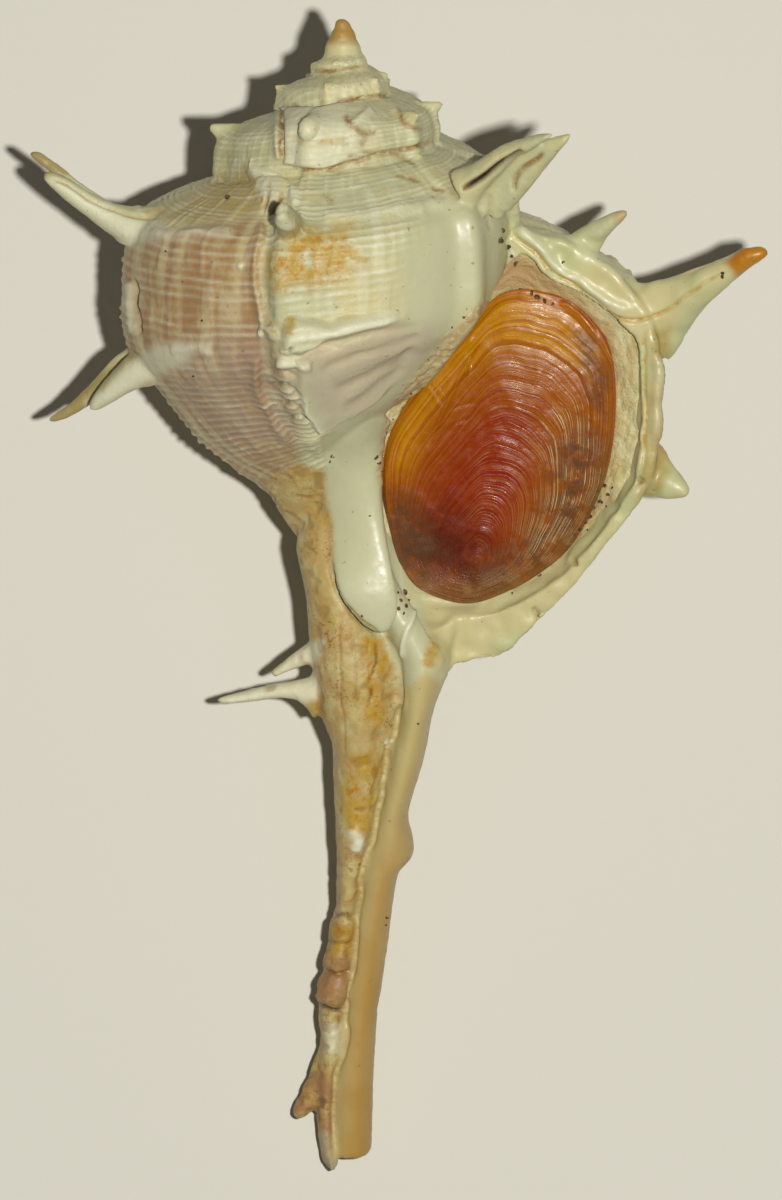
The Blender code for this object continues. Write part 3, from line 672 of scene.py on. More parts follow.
# lines drawn into the surface: photo points, width in pixels, depth in millimetres (minus cuts in), colour
# mark and amount of it. A step stands higher on the line's right-hand side.
lines = {
    "spireRustOne": ([(345, 120), (352, 132), (368, 136), (380, 134)], 3.0, -0.06, "rust", 0.8),
    "spireRustTwo": ([(398, 108), (402, 122), (412, 130), (424, 132)], 2.4, -0.06, "rust", 0.8),
    "spireRustThree": ([(356, 152), (376, 156), (398, 158), (412, 166), (418, 172)], 2.6, -0.06, "rust", 0.7),
    "sutureUpper": ([(312, 70), (324, 73), (345, 71), (366, 68)], 1.6, -0.2, "rust", 0.9),
    "sutureMiddle": ([(283, 108), (296, 109), (313, 113), (323, 112), (350, 103), (375, 98), (397, 96)],
                     1.7, -0.24, "rust", 0.9),
    "sutureLower": ([(284, 165), (297, 170), (322, 172), (345, 166), (370, 158), (400, 153), (420, 148),
                     (438, 139)],
                    2.0, -0.3, "rust", 0.9),
    "spireVarix": ([(283, 110), (284, 122), (282, 136), (283, 150), (285, 164)],
                   2.4, 0.7, "rust", 0.9, "step"),
    "spireKnob": ([(371, 112), (365, 122), (352, 134)], 4.0, 0.4, "white", 0.8),
    "spireKnobRust": ([(372, 130), (366, 140), (360, 148)], 3.0, -0.1, "rust", 0.5),
    "spireLedge": ([(291, 142), (310, 146), (330, 143), (352, 146)], 2.6, -0.15, "stain", 0.7),
    "shoulderEdge": ([(252, 163), (256, 182), (262, 202), (268, 217)], 1.5, 0.3, "stain", 0.75, "step"),
    "notchOne": ([(272, 190), (270, 204), (266, 218)], 1.7, -0.25, "rust", 0.7),
    "notchTwo": ([(285, 197), (279, 207), (272, 218)], 2.2, -0.25, "rust", 0.9),
    "shoulderKnob": ([(293, 190), (295, 198), (298, 210)], 5.0, 0.35, "white", 1.0),
    "secondKnob": ([(280, 219), (286, 226), (296, 231)], 5.5, 0.3, "white", 0.6),
    # painted shade: faint near-black in a small pit beside the knobs
    "thirdKnob": ([(284, 212), (292, 219)], 2.0, -0.15, "dark", 0.2),
    "shoulderRidge": ([(318, 217), (350, 219), (390, 214), (430, 208), (455, 203)], 7.0, 0.3, "white", 0.35),
    # painted shade in rust brown along the foot of the centre varix's steep left side, in both lines
    "centreVarix": ([(267, 218), (266, 236), (261, 262), (260, 276), (263, 293), (265, 306), (272, 326),
                     (285, 345)],
                    2.6, 0.55, "rust", 0.5, "step"),
    "centreVarixLow": ([(268, 352), (261, 364), (262, 387), (271, 407), (284, 428), (300, 443)],
                       2.6, 0.45, "rust", 0.3, "step"),
    "stubRidge": ([(290, 340), (306, 334), (330, 331), (360, 325), (400, 318)], 5.0, 0.2, "white", 1.0),
    # painted shade: near-black in the stub's open hollow
    "stubHollow": ([(288, 347), (290, 349)], 3.2, -1.0, "dark", 0.8),
    "stubRim": ([(281, 350), (288, 355), (295, 352)], 1.8, 0.3, "white", 0.8),
    "stubRust": ([(293, 318), (291, 326), (288, 334)], 3.6, 0.1, "stain", 1.0),
    "pinkRidge": ([(276, 363), (290, 364), (311, 362)], 4.5, 0.45, "white", 0.55),
    "foldOne": ([(314, 351), (345, 341), (380, 334), (420, 328)], 4.4, -0.2, "pinkLine", 0.14),
    "foldTwo": ([(316, 370), (345, 361), (385, 350), (425, 337)], 5.0, -0.24, "pinkLine", 0.16),
    "foldThree": ([(330, 386), (355, 379), (385, 368), (420, 348)], 5.0, -0.26, "pinkLine", 0.2),
    "foldFour": ([(338, 402), (362, 394), (385, 381), (405, 365)], 4.4, -0.2, "pinkLine", 0.16),
    # painted shade: near-black along the lobe's free edge
    "lobeEdge": ([(299, 386), (303, 402), (308, 416), (316, 427), (326, 428), (334, 421)],
                 2.4, 0.2, "dark", 0.12, "step"),
    "lobeRim": ([(301, 388), (305, 403), (310, 415), (318, 424), (328, 424)], 2.2, 0.25, "white", 0.9),
    "frillOne": ([(266, 372), (280, 372), (296, 376)], 2.2, -0.3, "rust", 0.35),
    "frillTwo": ([(268, 388), (284, 386), (299, 392)], 2.2, -0.34, "rust", 0.5),
    "frillThree": ([(276, 405), (290, 401), (304, 408)], 2.2, -0.34, "rust", 0.5),
    # painted shade: near-black in the groove under the lowest frill
    "frillFour": ([(288, 421), (300, 414), (310, 419)], 2.0, -0.34, "dark", 0.35),
    "leftFrill": ([(133, 278), (139, 289), (136, 303), (141, 320), (139, 338)], 2.4, -0.4, "pinkLine", 0.8),
    "leftFrillEdge": ([(129, 280), (131, 292), (130, 304), (133, 320), (134, 334)], 4.0, 0.25, "white", 0.8),
    "shoulderCord": ([(150, 232), (180, 237), (212, 236), (240, 233)], 5.0, 0.3, "white", 0.5),
    "lowCord": ([(170, 352), (192, 348), (216, 350)], 6.0, 0.25, "white", 0.45),
    "beadOne": ([(240, 267), (245, 269)], 3.2, 0.3, "white", 0.9),
    "beadTwo": ([(260, 333), (266, 335)], 4.5, 0.4, "white", 0.9),
    "rampGroove": ([(45, 177), (68, 184), (98, 203), (128, 214), (164, 219)], 1.8, -0.25, "stain", 0.55),
    # painted shade: near-black in the open groove along the spine's front
    "darkGroove": ([(463, 191), (474, 184), (492, 173), (508, 162), (521, 154)], 3.0, -0.8, "dark", 1.5),
    "darkGrooveEnd": ([(461, 192), (468, 188)], 2.4, -0.2, "rust", 1.0),
    "orangeGroove": ([(513, 196), (514, 182), (524, 170), (536, 162), (543, 156)], 2.2, -0.3, "rust", 0.8),
    # painted shadow: soft rust-brown shade along the step where the lip starts
    "lipStart": ([(489, 196), (488, 212), (490, 232)], 2.2, -0.2, "rust", 0.3),
    "innerRim": ([(502, 224), (524, 243), (535, 252), (545, 265), (553, 274), (569, 282), (582, 293),
                  (597, 306), (614, 316), (630, 320), (647, 318), (669, 308), (691, 291), (713, 277),
                  (728, 268)],
                 1.7, -0.3, "stain", 0.9),
    "innerRimLow": ([(645, 324), (643, 348), (644, 371), (644, 393), (645, 416), (643, 447), (641, 468),
                     (634, 490)],
                    1.6, -0.2, "stain", 0.75),
    "rimBead": ([(508, 222), (528, 236), (541, 248), (551, 261), (562, 272), (580, 281), (596, 293),
                 (612, 304), (632, 310)], 4.2, 0.32, "white", 0.5),
    "outerBead": ([(520, 214), (546, 224), (572, 240), (596, 258), (614, 272), (640, 280)],
                  4.0, 0.12, "white", 0.3),
    "lowRim": ([(655, 350), (657, 380), (655, 410), (655, 440)], 4.5, 0.3, "white", 0.3),
    "redSpot": ([(641, 476), (640, 484)], 4.0, -0.1, "rust", 1.0),
    "lowNotchOne": ([(573, 556), (575, 566)], 2.5, -0.3, "rust", 0.6),
    "lowNotchTwo": ([(532, 606), (542, 618)], 3.0, -0.3, "rust", 0.6),
    "flapShadow": ([(332, 560), (334, 582), (344, 601), (361, 620), (380, 632)], 2.2, -0.25, "rust", 0.3),
    # painted highlight: white along the thin ridge at the mouth's lower corner
    "cornerRidge": ([(416, 606), (409, 622), (403, 640), (402, 658)], 2.6, 0.25, "white", 0.8),
    "slit": ([(384, 634), (394, 645), (400, 662), (401, 690), (398, 716), (395, 734), (388, 745), (386, 766),
              (378, 817), (374, 837), (367, 853), (363, 870), (357, 919), (353, 968), (347, 992), (345, 1017),
              (348, 1030), (346, 1046), (337, 1074), (333, 1123), (335, 1163)], 2.3, -0.3, "rust", 0.22),
    "slitChip": ([(391, 739), (384, 743)], 2.2, 0.2, "white", 1.0),
    "whiteChip": ([(350, 826), (358, 840), (352, 852)], 5.5, 0.15, "white", 1.0),
    "leftEdgeRust": ([(319, 680), (323, 720), (326, 770), (328, 830), (326, 880)], 4.0, 0.0, "rust", 0.45),
    "rustTrack": ([(376, 638), (378, 660), (370, 678), (372, 694), (367, 707)], 2.0, -0.12, "rust", 0.85),
    "rustTrackTwo": ([(386, 752), (380, 768), (374, 790), (370, 816)], 2.2, -0.1, "stain", 0.9),
    "canalLineOne": ([(339, 612), (339, 640), (341, 694), (346, 760)], 1.3, -0.14, "rust", 0.3),
    "canalLineTwo": ([(352, 620), (354, 660), (356, 720)], 1.3, -0.1, "rust", 0.2),
    "wrinkleOne": ([(330, 916), (342, 914), (357, 919)], 2.0, -0.3, "rust", 0.7),
    "wrinkleTwo": ([(326, 940), (340, 943), (354, 940)], 1.8, -0.2, "rust", 0.4),
    "wrinkleThree": ([(322, 970), (336, 974), (350, 969)], 1.9, -0.35, "rust", 0.8),
    "bulgePink": ([(320, 988), (334, 992), (346, 988)], 9.0, 0.0, "purplePink", 0.8),
    "bulgePinkTwo": ([(322, 958), (336, 962), (350, 958)], 7.0, 0.0, "purplePink", 0.5),
    # painted shade: near-black in the crack between the canal's bulges
    "shadedCrack": ([(319, 1003), (330, 1009), (343, 1011)], 2.0, -0.4, "dark", 1.0),
    "pinkCrackEdge": ([(320, 998), (331, 1004), (344, 1005)], 2.0, -0.05, "rust", 0.5),
    "greyPatch": ([(330, 1022), (332, 1040), (330, 1056)], 9.0, 0.05, "white", 0.6),
    "stubPink": ([(304, 1104), (312, 1108), (296, 1116)], 8.0, 0.0, "purplePink", 1.0),
    "stubSpots": ([(318, 1100), (324, 1108)], 4.0, -0.15, "dark", 0.6),
    "shardGrey": ([(322, 1130), (328, 1160), (330, 1178)], 4.0, 0.0, "greyTone", 0.7),
    "bumpBrown": ([(402, 868), (408, 862), (412, 858)], 3.0, 0.0, "rust", 0.6),
    "rightStain": ([(436, 640), (431, 652), (428, 668)], 6.0, 0.0, "stain", 1.0),
    "rampStreakOne": ([(322, 196), (334, 204)], 2.2, -0.1, "rust", 0.7),
    "rampStreakTwo": ([(395, 178), (412, 181), (420, 185)], 2.2, -0.1, "rust", 0.6),
    "rampStreakThree": ([(430, 190), (446, 194)], 2.0, -0.1, "rust", 0.6),
    "rampStreakFour": ([(346, 158), (370, 160), (352, 166)], 2.5, -0.1, "rust", 0.7),
    "rampStreakFive": ([(456, 142), (468, 144), (480, 150)], 1.8, -0.1, "stain", 0.8),
}
marks = (
    "pink", "rampTan", "callus", "mauve", "purplePink", "lip", "canalLeft", "canalRight", "stain", "tip",
    "bare", "olive", "white", "rust", "dark", "pinkLine", "greyTone", "spireTan", "cord", "hollow", "band",
    "ochre", "crust", "lipTan", "canalBrown", "upper")

areaMarks = {
    # areas that are coloured as another mark than their own name
    "canalStain": "stain", "lowStain": "stain", "middleStain": "stain", "stubBrown": "canalBrown",
    "shardBrown": "canalBrown", "smallSpine": "bare", "smallSpineTwo": "bare", "bareLow": "bare",
    "longTip": "tip", "middleTip": "tip", "oliveLow": "olive", "flap": "callus", "lobeWhite": "callus",
    "corner": "callus"}
faintAreas = {"middleTip": 0.4}
whitePlates = {"stub": 0.5, "spireStep": 0.5, "shoulderPlate": 0.5}


def insideArea(pixels, outline, soft):
    # 1 well inside the outline, 0 well outside it, and a smooth edge this many pixels wide
    outline = np.array(outline, float)
    inside = np.zeros(len(pixels), bool)
    for a, b in zip(outline, np.roll(outline, -1, axis=0)):
        crosses = (a[1] > pixels[:, 1]) != (b[1] > pixels[:, 1])
        if a[1] == b[1]:
            continue
        where = a[0] + (pixels[:, 1] - a[1]) / (b[1] - a[1]) * (b[0] - a[0])
        inside ^= crosses & (pixels[:, 0] < where)
    gap, _, _ = alongLine(pixels, np.vstack([outline, outline[:1]]))
    return ease(0.5 + np.where(inside, gap, -gap) / (2 * soft))


def spiralCoordinates(points):
    # growth angle, distance along the whorl's section, size there, and how far the point is from the plain
    # whorl's surface and from the next whorl's
    offset = points - apex
    height = offset @ down
    turn = np.degrees(np.arctan2(offset @ front, offset @ right)) % 360
    radius = np.hypot(offset @ front, offset @ right)
    section = smoothCurve(spiral["whorl"][1:15], 3)
    steps = np.linalg.norm(np.diff(section, axis=0), axis=1)
    starts = np.concatenate([[0], np.cumsum(steps)[:-1]])
    count = len(points)
    far = 1e3
    growth, along, size = np.zeros(count), np.zeros(count), np.ones(count)
    nearest, second = np.full(count, far), np.full(count, far)
    for whorl in range(1, -6, -1):
        angle = turn + 360 * whorl
        scale = sizeAt(angle)
        drop = spiral["apexDrop"] * (1 - scale)
        spot = np.stack([radius / (scale * slimAt(scale)), (height - drop) / scale], axis=1)
        best = np.full(count, far)
        spotAlong = np.zeros(count)
        for a, b, step, start in zip(section, section[1:], steps, starts):
            run = (b - a) / step
            part = np.clip((spot - a) @ run, 0, step)
            gap = np.linalg.norm(spot - a - part[:, None] * run, axis=1)
            nearer = gap < best
            best = np.where(nearer, gap, best)
            spotAlong = np.where(nearer, start + part, spotAlong)
        best = np.where(angle <= spiral["lipAngle"] + 5, best * scale, far)
        closer = best < nearest
        second = np.where(closer, nearest, np.minimum(second, best))
        growth = np.where(closer, angle, growth)
        along = np.where(closer, spotAlong, along)
        size = np.where(closer, scale, size)
        nearest = np.where(closer, best, nearest)
    return growth, along, size, nearest, second


def leanSpire(points):
    # the front of the upper whorls stands nearer the apex than a true spiral has it
    offset = points - apex
    height = offset @ down
    forwards = np.maximum(offset @ front, 0)
    radius = np.hypot(offset @ front, offset @ right)
    leaned = points.copy()
    leaned[:, 1] += spiral["spireLean"] * forwards * ease((12 - radius) / 5) * ease((17 - height) / 4)
    return leaned


def growBetween(pixels, start, end):
    # 0 before the first spot, 1 after the second
    run = np.array(end, float) - start
    return ease((pixels - start) @ run / (run @ run))


def paintAreas(pixels, facing, value):
    for name, (outline, soft) in areas.items():
        mark = areaMarks.get(name, name)
        inside = insideArea(pixels, outline, soft) * facing * faintAreas.get(name, 1.0)
        value[mark] = np.maximum(value[mark], inside)


def smoothness(points, pixels, value):
    # 1 where the shell has no cords: glazed, worn bare, or inside the mouth
    glazed = value["callus"] * 1.1 + value["lip"] * 0.9 + value["mauve"] * 0.7 + value["canalRight"]
    smooth = np.maximum(np.clip(glazed, 0, 1), np.maximum(value["bare"] * 0.85, value["tip"]))
    aboveFloor = ease((points[:, 2] - sculpture["mouthWallFloor"]) / 3)
    return np.maximum(smooth, insideArea(pixels, mouthWall, 6) * aboveFloor)


def cordsAndThreads(points, growth, along, size):
    # spiral cords and growth threads, and how strong each is from place to place
    wobble = (softNoise(points, 3.2, 11) - 0.5) * 0.5 + (softNoise(points, 1.3, 12) - 0.5) * 0.22
    closer = np.where(along < sculpture["shoulder"], sculpture["shoulderSpacing"], 1.0)
    turns = along / (sculpture["cordSpacing"] * closer) + wobble
    cord = (0.5 + 0.5 * np.cos(2 * math.pi * turns)) ** 2.0
    cordWeight = 0.2 + 1.2 * joinedNoise(16, growth / 7.0, along * 0.9, size * 5)
    cordSizes = np.random.default_rng(61).uniform(0.35, 1.15, 80)
    cordWeight *= cordSizes[np.clip(turns + 10.5, 0, 79).astype(int)]
    shifted = growth / 1.9 + (softNoise(points, 2.4, 13) - 0.5) * 1.6
    thread = ease((joinedNoise(14, shifted, along * 0.16, size * 5) - 0.42) * 3.2)
    threadWeight = 0.3 + 0.9 * joinedNoise(17, growth / 6.0, along * 0.3, size)
    return cord, cordWeight, thread, threadWeight


def canalOchre(pixels):
    # grows from the slit to the canal's right edge, and towards its end
    rows, _, slit, edge = np.array(canal["rows"], float).T
    slitThere = np.interp(pixels[:, 1], rows, slit)
    span = np.interp(pixels[:, 1], rows, edge) - slitThere
    lower = ease((pixels[:, 1] - 660) / 380)
    return ease(1.25 * (pixels[:, 0] - slitThere) / span - 0.1 + 0.35 * lower) * (0.3 + 0.7 * lower)


def drawLines(points, pixels, facing, move, value):
    seen = facing > 0.02
    spots = pixels[seen]
    for line, width, depth, mark, amount, *kind in lines.values():
        reach = width * 4 + 3
        curve = smoothCurve(line, 4)
        low, high = curve.min(axis=0) - reach, curve.max(axis=0) + reach
        close = np.all((spots > low) & (spots < high), axis=1)
        index = np.flatnonzero(seen)[close]
        if not len(index):
            continue
        distance, progress, side = alongLine(spots[close], curve)
        uneven = 0.7 + 0.6 * softNoise(points[index], 0.9, 31)
        uneven *= ease(progress * 7 + 0.1) * ease((1 - progress) * 7 + 0.1)
        near = np.exp(-((distance / width) ** 2))
        if kind:
            far = np.exp(-((distance / (width * 3)) ** 2))
            rising = np.where(side > 0, 1, -0.35) * (1 - near * 0.6)
            move[index] += depth * rising * far * ease(progress * 7) * ease((1 - progress) * 7)
            painted = np.exp(-((distance / (width * 0.55)) ** 2)) * facing[index]
        else:
            painted = near * facing[index]
            move[index] += depth * painted * uneven
        value[mark][index] = np.maximum(value[mark][index], painted * amount * uneven)


def relieveShell(piece):
    # moves the surface in and out for the sculpture, and stores the numbers that the material reads
    mesh = piece.data
    points = pointsOf(mesh)
    normals = normalsOf(mesh)
    growth, along, size, gap, second = spiralCoordinates(points)
    points = leanSpire(points)
    pixels = toPhoto(points)
    waver = np.stack([softNoise(points, 1.2, 33), softNoise(points, 1.2, 34)], axis=1) - 0.5
    facing = ease(normals[:, 2] * 3 + 0.3)
    value = {name: np.zeros(len(points)) for name in marks}
    paintAreas(pixels + waver * sculpture["areaWaver"], facing, value)

    # the hidden side has the same zones, told by the spiral instead of by the photo
    hidden = 1 - facing
    onWhorl = ease((2.2 * size - gap) / (1.2 * size))
    onCanal = ease(((points - apex) @ down - sculpture["canalStart"]) / 4)
    hiddenPink = hidden * onWhorl * sculpture["hiddenPink"] * ease((along - 6) / 4)
    value["pink"] = np.maximum(value["pink"], hiddenPink)
    value["canalLeft"] = np.maximum(value["canalLeft"], hidden * onCanal)
    value["upper"] = ease((sculpture["spireSize"] - size) / 0.14) * onWhorl
    value["band"] = joinedNoise(15, growth / 4.2, along * 0.03, size * 3)
    value["ochre"] = canalOchre(pixels)

    # cords and threads
    cord, cordWeight, thread, threadWeight = cordsAndThreads(points, growth, along, size)
    smooth = smoothness(points, pixels, value)
    rough = onWhorl * (1 - smooth) * (1 - onCanal)
    crest = np.array([varixAt(angle)[0] for angle in np.arange(360.0)])[(growth % 360).astype(int) % 360]
    boost = 1 + sculpture["crestBoost"] * crest * (1 - facing * value["lip"])
    onSpire = 1 - sculpture["spireFlatness"] * value["upper"]
    move = sculpture["cordHeight"] * size**0.7 * cord * cordWeight * boost * rough * onSpire
    move += sculpture["threadHeight"] * size**0.5 * thread * threadWeight * rough * onSpire
    value["cord"] = (cord * cordWeight * 0.7 + thread * threadWeight * 0.3) * rough

    # suture where two whorls meet
    meeting = np.exp(-(((second - gap) / (0.5 * size)) ** 2)) * ease((1.6 * size - second) / (1.0 * size))
    meeting *= (growth < sculpture["lastSuture"]) * (1 - onCanal)
    move -= sculpture["sutureDepth"] * size * meeting
    value["rust"] = np.maximum(value["rust"], meeting * hidden * 0.7)

    wandering = pixels + waver * sculpture["plateWaver"]
    for name, (outline, soft, height, start, end) in plates.items():
        inside = insideArea(wandering, outline, soft) * facing * growBetween(pixels, start, end)
        move += height * inside
        value["white"] = np.maximum(value["white"], whitePlates.get(name, 0.0) * inside)
    crumbs = ease((softNoise(points, 0.45, 24) - 0.35) * 2.5)
    move += sculpture["crustHeight"] * value["crust"] * crumbs

    # general unevenness
    calm = 1 - 0.65 * smooth
    move += sculpture["unevenness"] * (mottle(points, 3.6, 21) - 0.5) * calm
    move += sculpture["grain"] * (softNoise(points, 0.55, 22) - 0.5) * 2 * calm
    move += sculpture["lipRuffle"] * (softNoise(points, 1.1, 25) - 0.5) * value["lip"]
    pits = ease((softNoise(points, 0.7, 23) - 0.62) * 6) * value["canalLeft"]
    move -= sculpture["pitDepth"] * pits
    value["hollow"] = pits * 0.8
    drawLines(points, pixels + waver * sculpture["lineWaver"], facing, move, value)

    moved = points + normals * move[:, None]
    moved[:, 2] = np.maximum(moved[:, 2], 0.0)  # worn flat where it rests
    setPoints(mesh, moved)
    for name in marks:
        setValues(mesh, name, value[name])
    print("shell relief:", round(float(move.min()), 2), "to", round(float(move.max()), 2), "mm")


def splitPiece(piece, count):
    # cuts a dense piece into lighter ones across Y, and keeps its shading smooth over the joins
    mesh = piece.data
    normals = normalsOf(mesh)
    points = pointsOf(mesh)
    corners = np.empty(len(mesh.loops), np.int32)
    mesh.loops.foreach_get("vertex_index", corners)
    corners = corners.reshape(-1, 4)
    middle = points[corners][:, :, 1].mean(axis=1)
    order = np.argsort(middle, kind="stable")
    values = {}
    for name in marks:
        layer = np.empty(len(points), np.float32)
        mesh.attributes[name].data.foreach_get("value", layer)
        values[name] = layer
    pieces = []
    for part, faces in enumerate(np.array_split(order, count)):
        used, renumbered = np.unique(corners[faces], return_inverse=True)
        partMesh = bpy.data.meshes.new(f"{piece.name}_{part + 1}")
        partMesh.from_pydata((points[used] * mm).tolist(), [], renumbered.reshape(-1, 4).tolist())
        partMesh.shade_smooth()
        partMesh.normals_split_custom_set_from_vertices(normals[used].tolist())
        for name in marks:
            setValues(partMesh, name, values[name][used])
        partPiece = bpy.data.objects.new(f"{piece.name}_{part + 1}", partMesh)
        bpy.context.scene.collection.objects.link(partPiece)
        pieces.append(partPiece)
    bpy.data.objects.remove(piece, do_unlink=True)
    return pieces


# Materials

class Nodes:
    # short ways to build a material's node tree

    def __init__(self, name):
        self.material = bpy.data.materials.new(name)
        self.material.use_nodes = True
        self.tree = self.material.node_tree
        self.shader = self.tree.nodes["Principled BSDF"]
        self.place = self.tree.nodes.new("ShaderNodeTexCoord").outputs["Object"]

    def link(self, source, socket):
        if isinstance(source, (int, float)):
            socket.default_value = source
        elif isinstance(source, tuple):
            socket.default_value = (*source, 1.0)
        else:
            self.tree.links.new(source, socket)

    def value(self, name):
        node = self.tree.nodes.new("ShaderNodeAttribute")
        node.attribute_name = name
        return node.outputs["Fac"]

    def noise(self, size, detail=3.0, roughness=0.55):
        # noise whose spots are about this many millimetres across
        node = self.tree.nodes.new("ShaderNodeTexNoise")
        node.inputs["Scale"].default_value = 1 / (size * mm)
        node.inputs["Detail"].default_value = detail
        node.inputs["Roughness"].default_value = roughness
        self.link(self.place, node.inputs["Vector"])
        return node.outputs["Fac"]

    def ringNoise(self, ring, blur, count):
        # noise along the growth rings only, this many changes from the nucleus to the edge
        node = self.tree.nodes.new("ShaderNodeTexNoise")
        node.noise_dimensions = "1D"
        node.inputs["Scale"].default_value = count
        node.inputs["Detail"].default_value = 3.0
        node.inputs["Roughness"].default_value = 0.65
        self.link(self.math("ADD", ring, self.times(blur, 0.012)), node.inputs["W"])
        return node.outputs["Fac"]

    def math(self, operation, a, b=0.0, clamp=False):
        node = self.tree.nodes.new("ShaderNodeMath")
        node.operation = operation
        node.use_clamp = clamp
        self.link(a, node.inputs[0])
        self.link(b, node.inputs[1])
        return node.outputs["Value"]

    def times(self, a, b, clamp=False):
        return self.math("MULTIPLY", a, b, clamp)

    def patchy(self, name, noise, *limits):
        # a stored number, broken up by noise
        return self.times(self.value(name), self.spread(noise, *limits))

    def spread(self, value, low, high, start=0.0, end=1.0):
        # value from low to high becomes start to end, smoothly
        node = self.tree.nodes.new("ShaderNodeMapRange")
        node.interpolation_type = "SMOOTHSTEP"
        self.link(value, node.inputs["Value"])
        node.inputs["From Min"].default_value = low
        node.inputs["From Max"].default_value = high
        node.inputs["To Min"].default_value = start
        node.inputs["To Max"].default_value = end
        return node.outputs["Result"]

    def mix(self, amount, first, second):
        node = self.tree.nodes.new("ShaderNodeMix")
        node.data_type = "RGBA"
        self.link(amount, node.inputs["Factor"])
        self.link(first, node.inputs["A"])
        self.link(second, node.inputs["B"])
        return node.outputs["Result"]

    def bump(self, height, depth):
        node = self.tree.nodes.new("ShaderNodeBump")
        node.inputs["Strength"].default_value = 1.0
        node.inputs["Distance"].default_value = depth * mm
        self.link(height, node.inputs["Height"])
        return node.outputs["Normal"]

    def finish(self, colour, roughness, normal, specular=0.5, depth=0.0, weight=0.0, radius=None):
        # depth, weight and radius say how far light goes under the surface, in millimetres
        inputs = self.shader.inputs
        self.link(colour, inputs["Base Color"])
        self.link(roughness, inputs["Roughness"])
        self.link(normal, inputs["Normal"])
        inputs["Specular IOR Level"].default_value = specular
        if weight:
            inputs["Subsurface Weight"].default_value = weight
            inputs["Subsurface Scale"].default_value = depth * mm
        if radius:
            inputs["Subsurface Radius"].default_value = radius
        return self.material


shellLook = {
    "cream": (0.56, 0.50, 0.25),
    "creamCool": (0.47, 0.46, 0.26),
    "pinkTan": (0.46, 0.33, 0.15),
    "pinkDeep": (0.35, 0.195, 0.075),
    "pinkPale": (0.53, 0.45, 0.22),
    "rampTan": (0.40, 0.30, 0.09),
    "callus": (0.53, 0.52, 0.32),
    "mauve": (0.48, 0.41, 0.28),
    "purplePink": (0.33, 0.215, 0.145),
    "lip": (0.49, 0.49, 0.25),
    "canalTan": (0.46, 0.32, 0.115),
    "canalOchre": (0.40, 0.235, 0.055),
    "canalPale": (0.53, 0.45, 0.20),
    "canalBrown": (0.33, 0.165, 0.065),
    "upper": (0.38, 0.36, 0.18),
    "white": (0.71, 0.70, 0.51),
    "stain": (0.46, 0.20, 0.01),
    "mustard": (0.46, 0.29, 0.035),
    "rust": (0.23, 0.098, 0.004),
    "sand": (0.47, 0.34, 0.15),
    # near-black, for painted shade in hollows, grooves and cracks, and for a few dark spots
    "dark": (0.045, 0.022, 0.012),
    "tip": (0.43, 0.15, 0.01),
    "olive": (0.34, 0.27, 0.10),
    "pinkLine": (0.27, 0.13, 0.075),
    "grey": (0.36, 0.34, 0.22),
    "speck": (0.16, 0.13, 0.05),
    "roughness": (0.5, 0.38),  # of the dull body and of the glazed callus
}


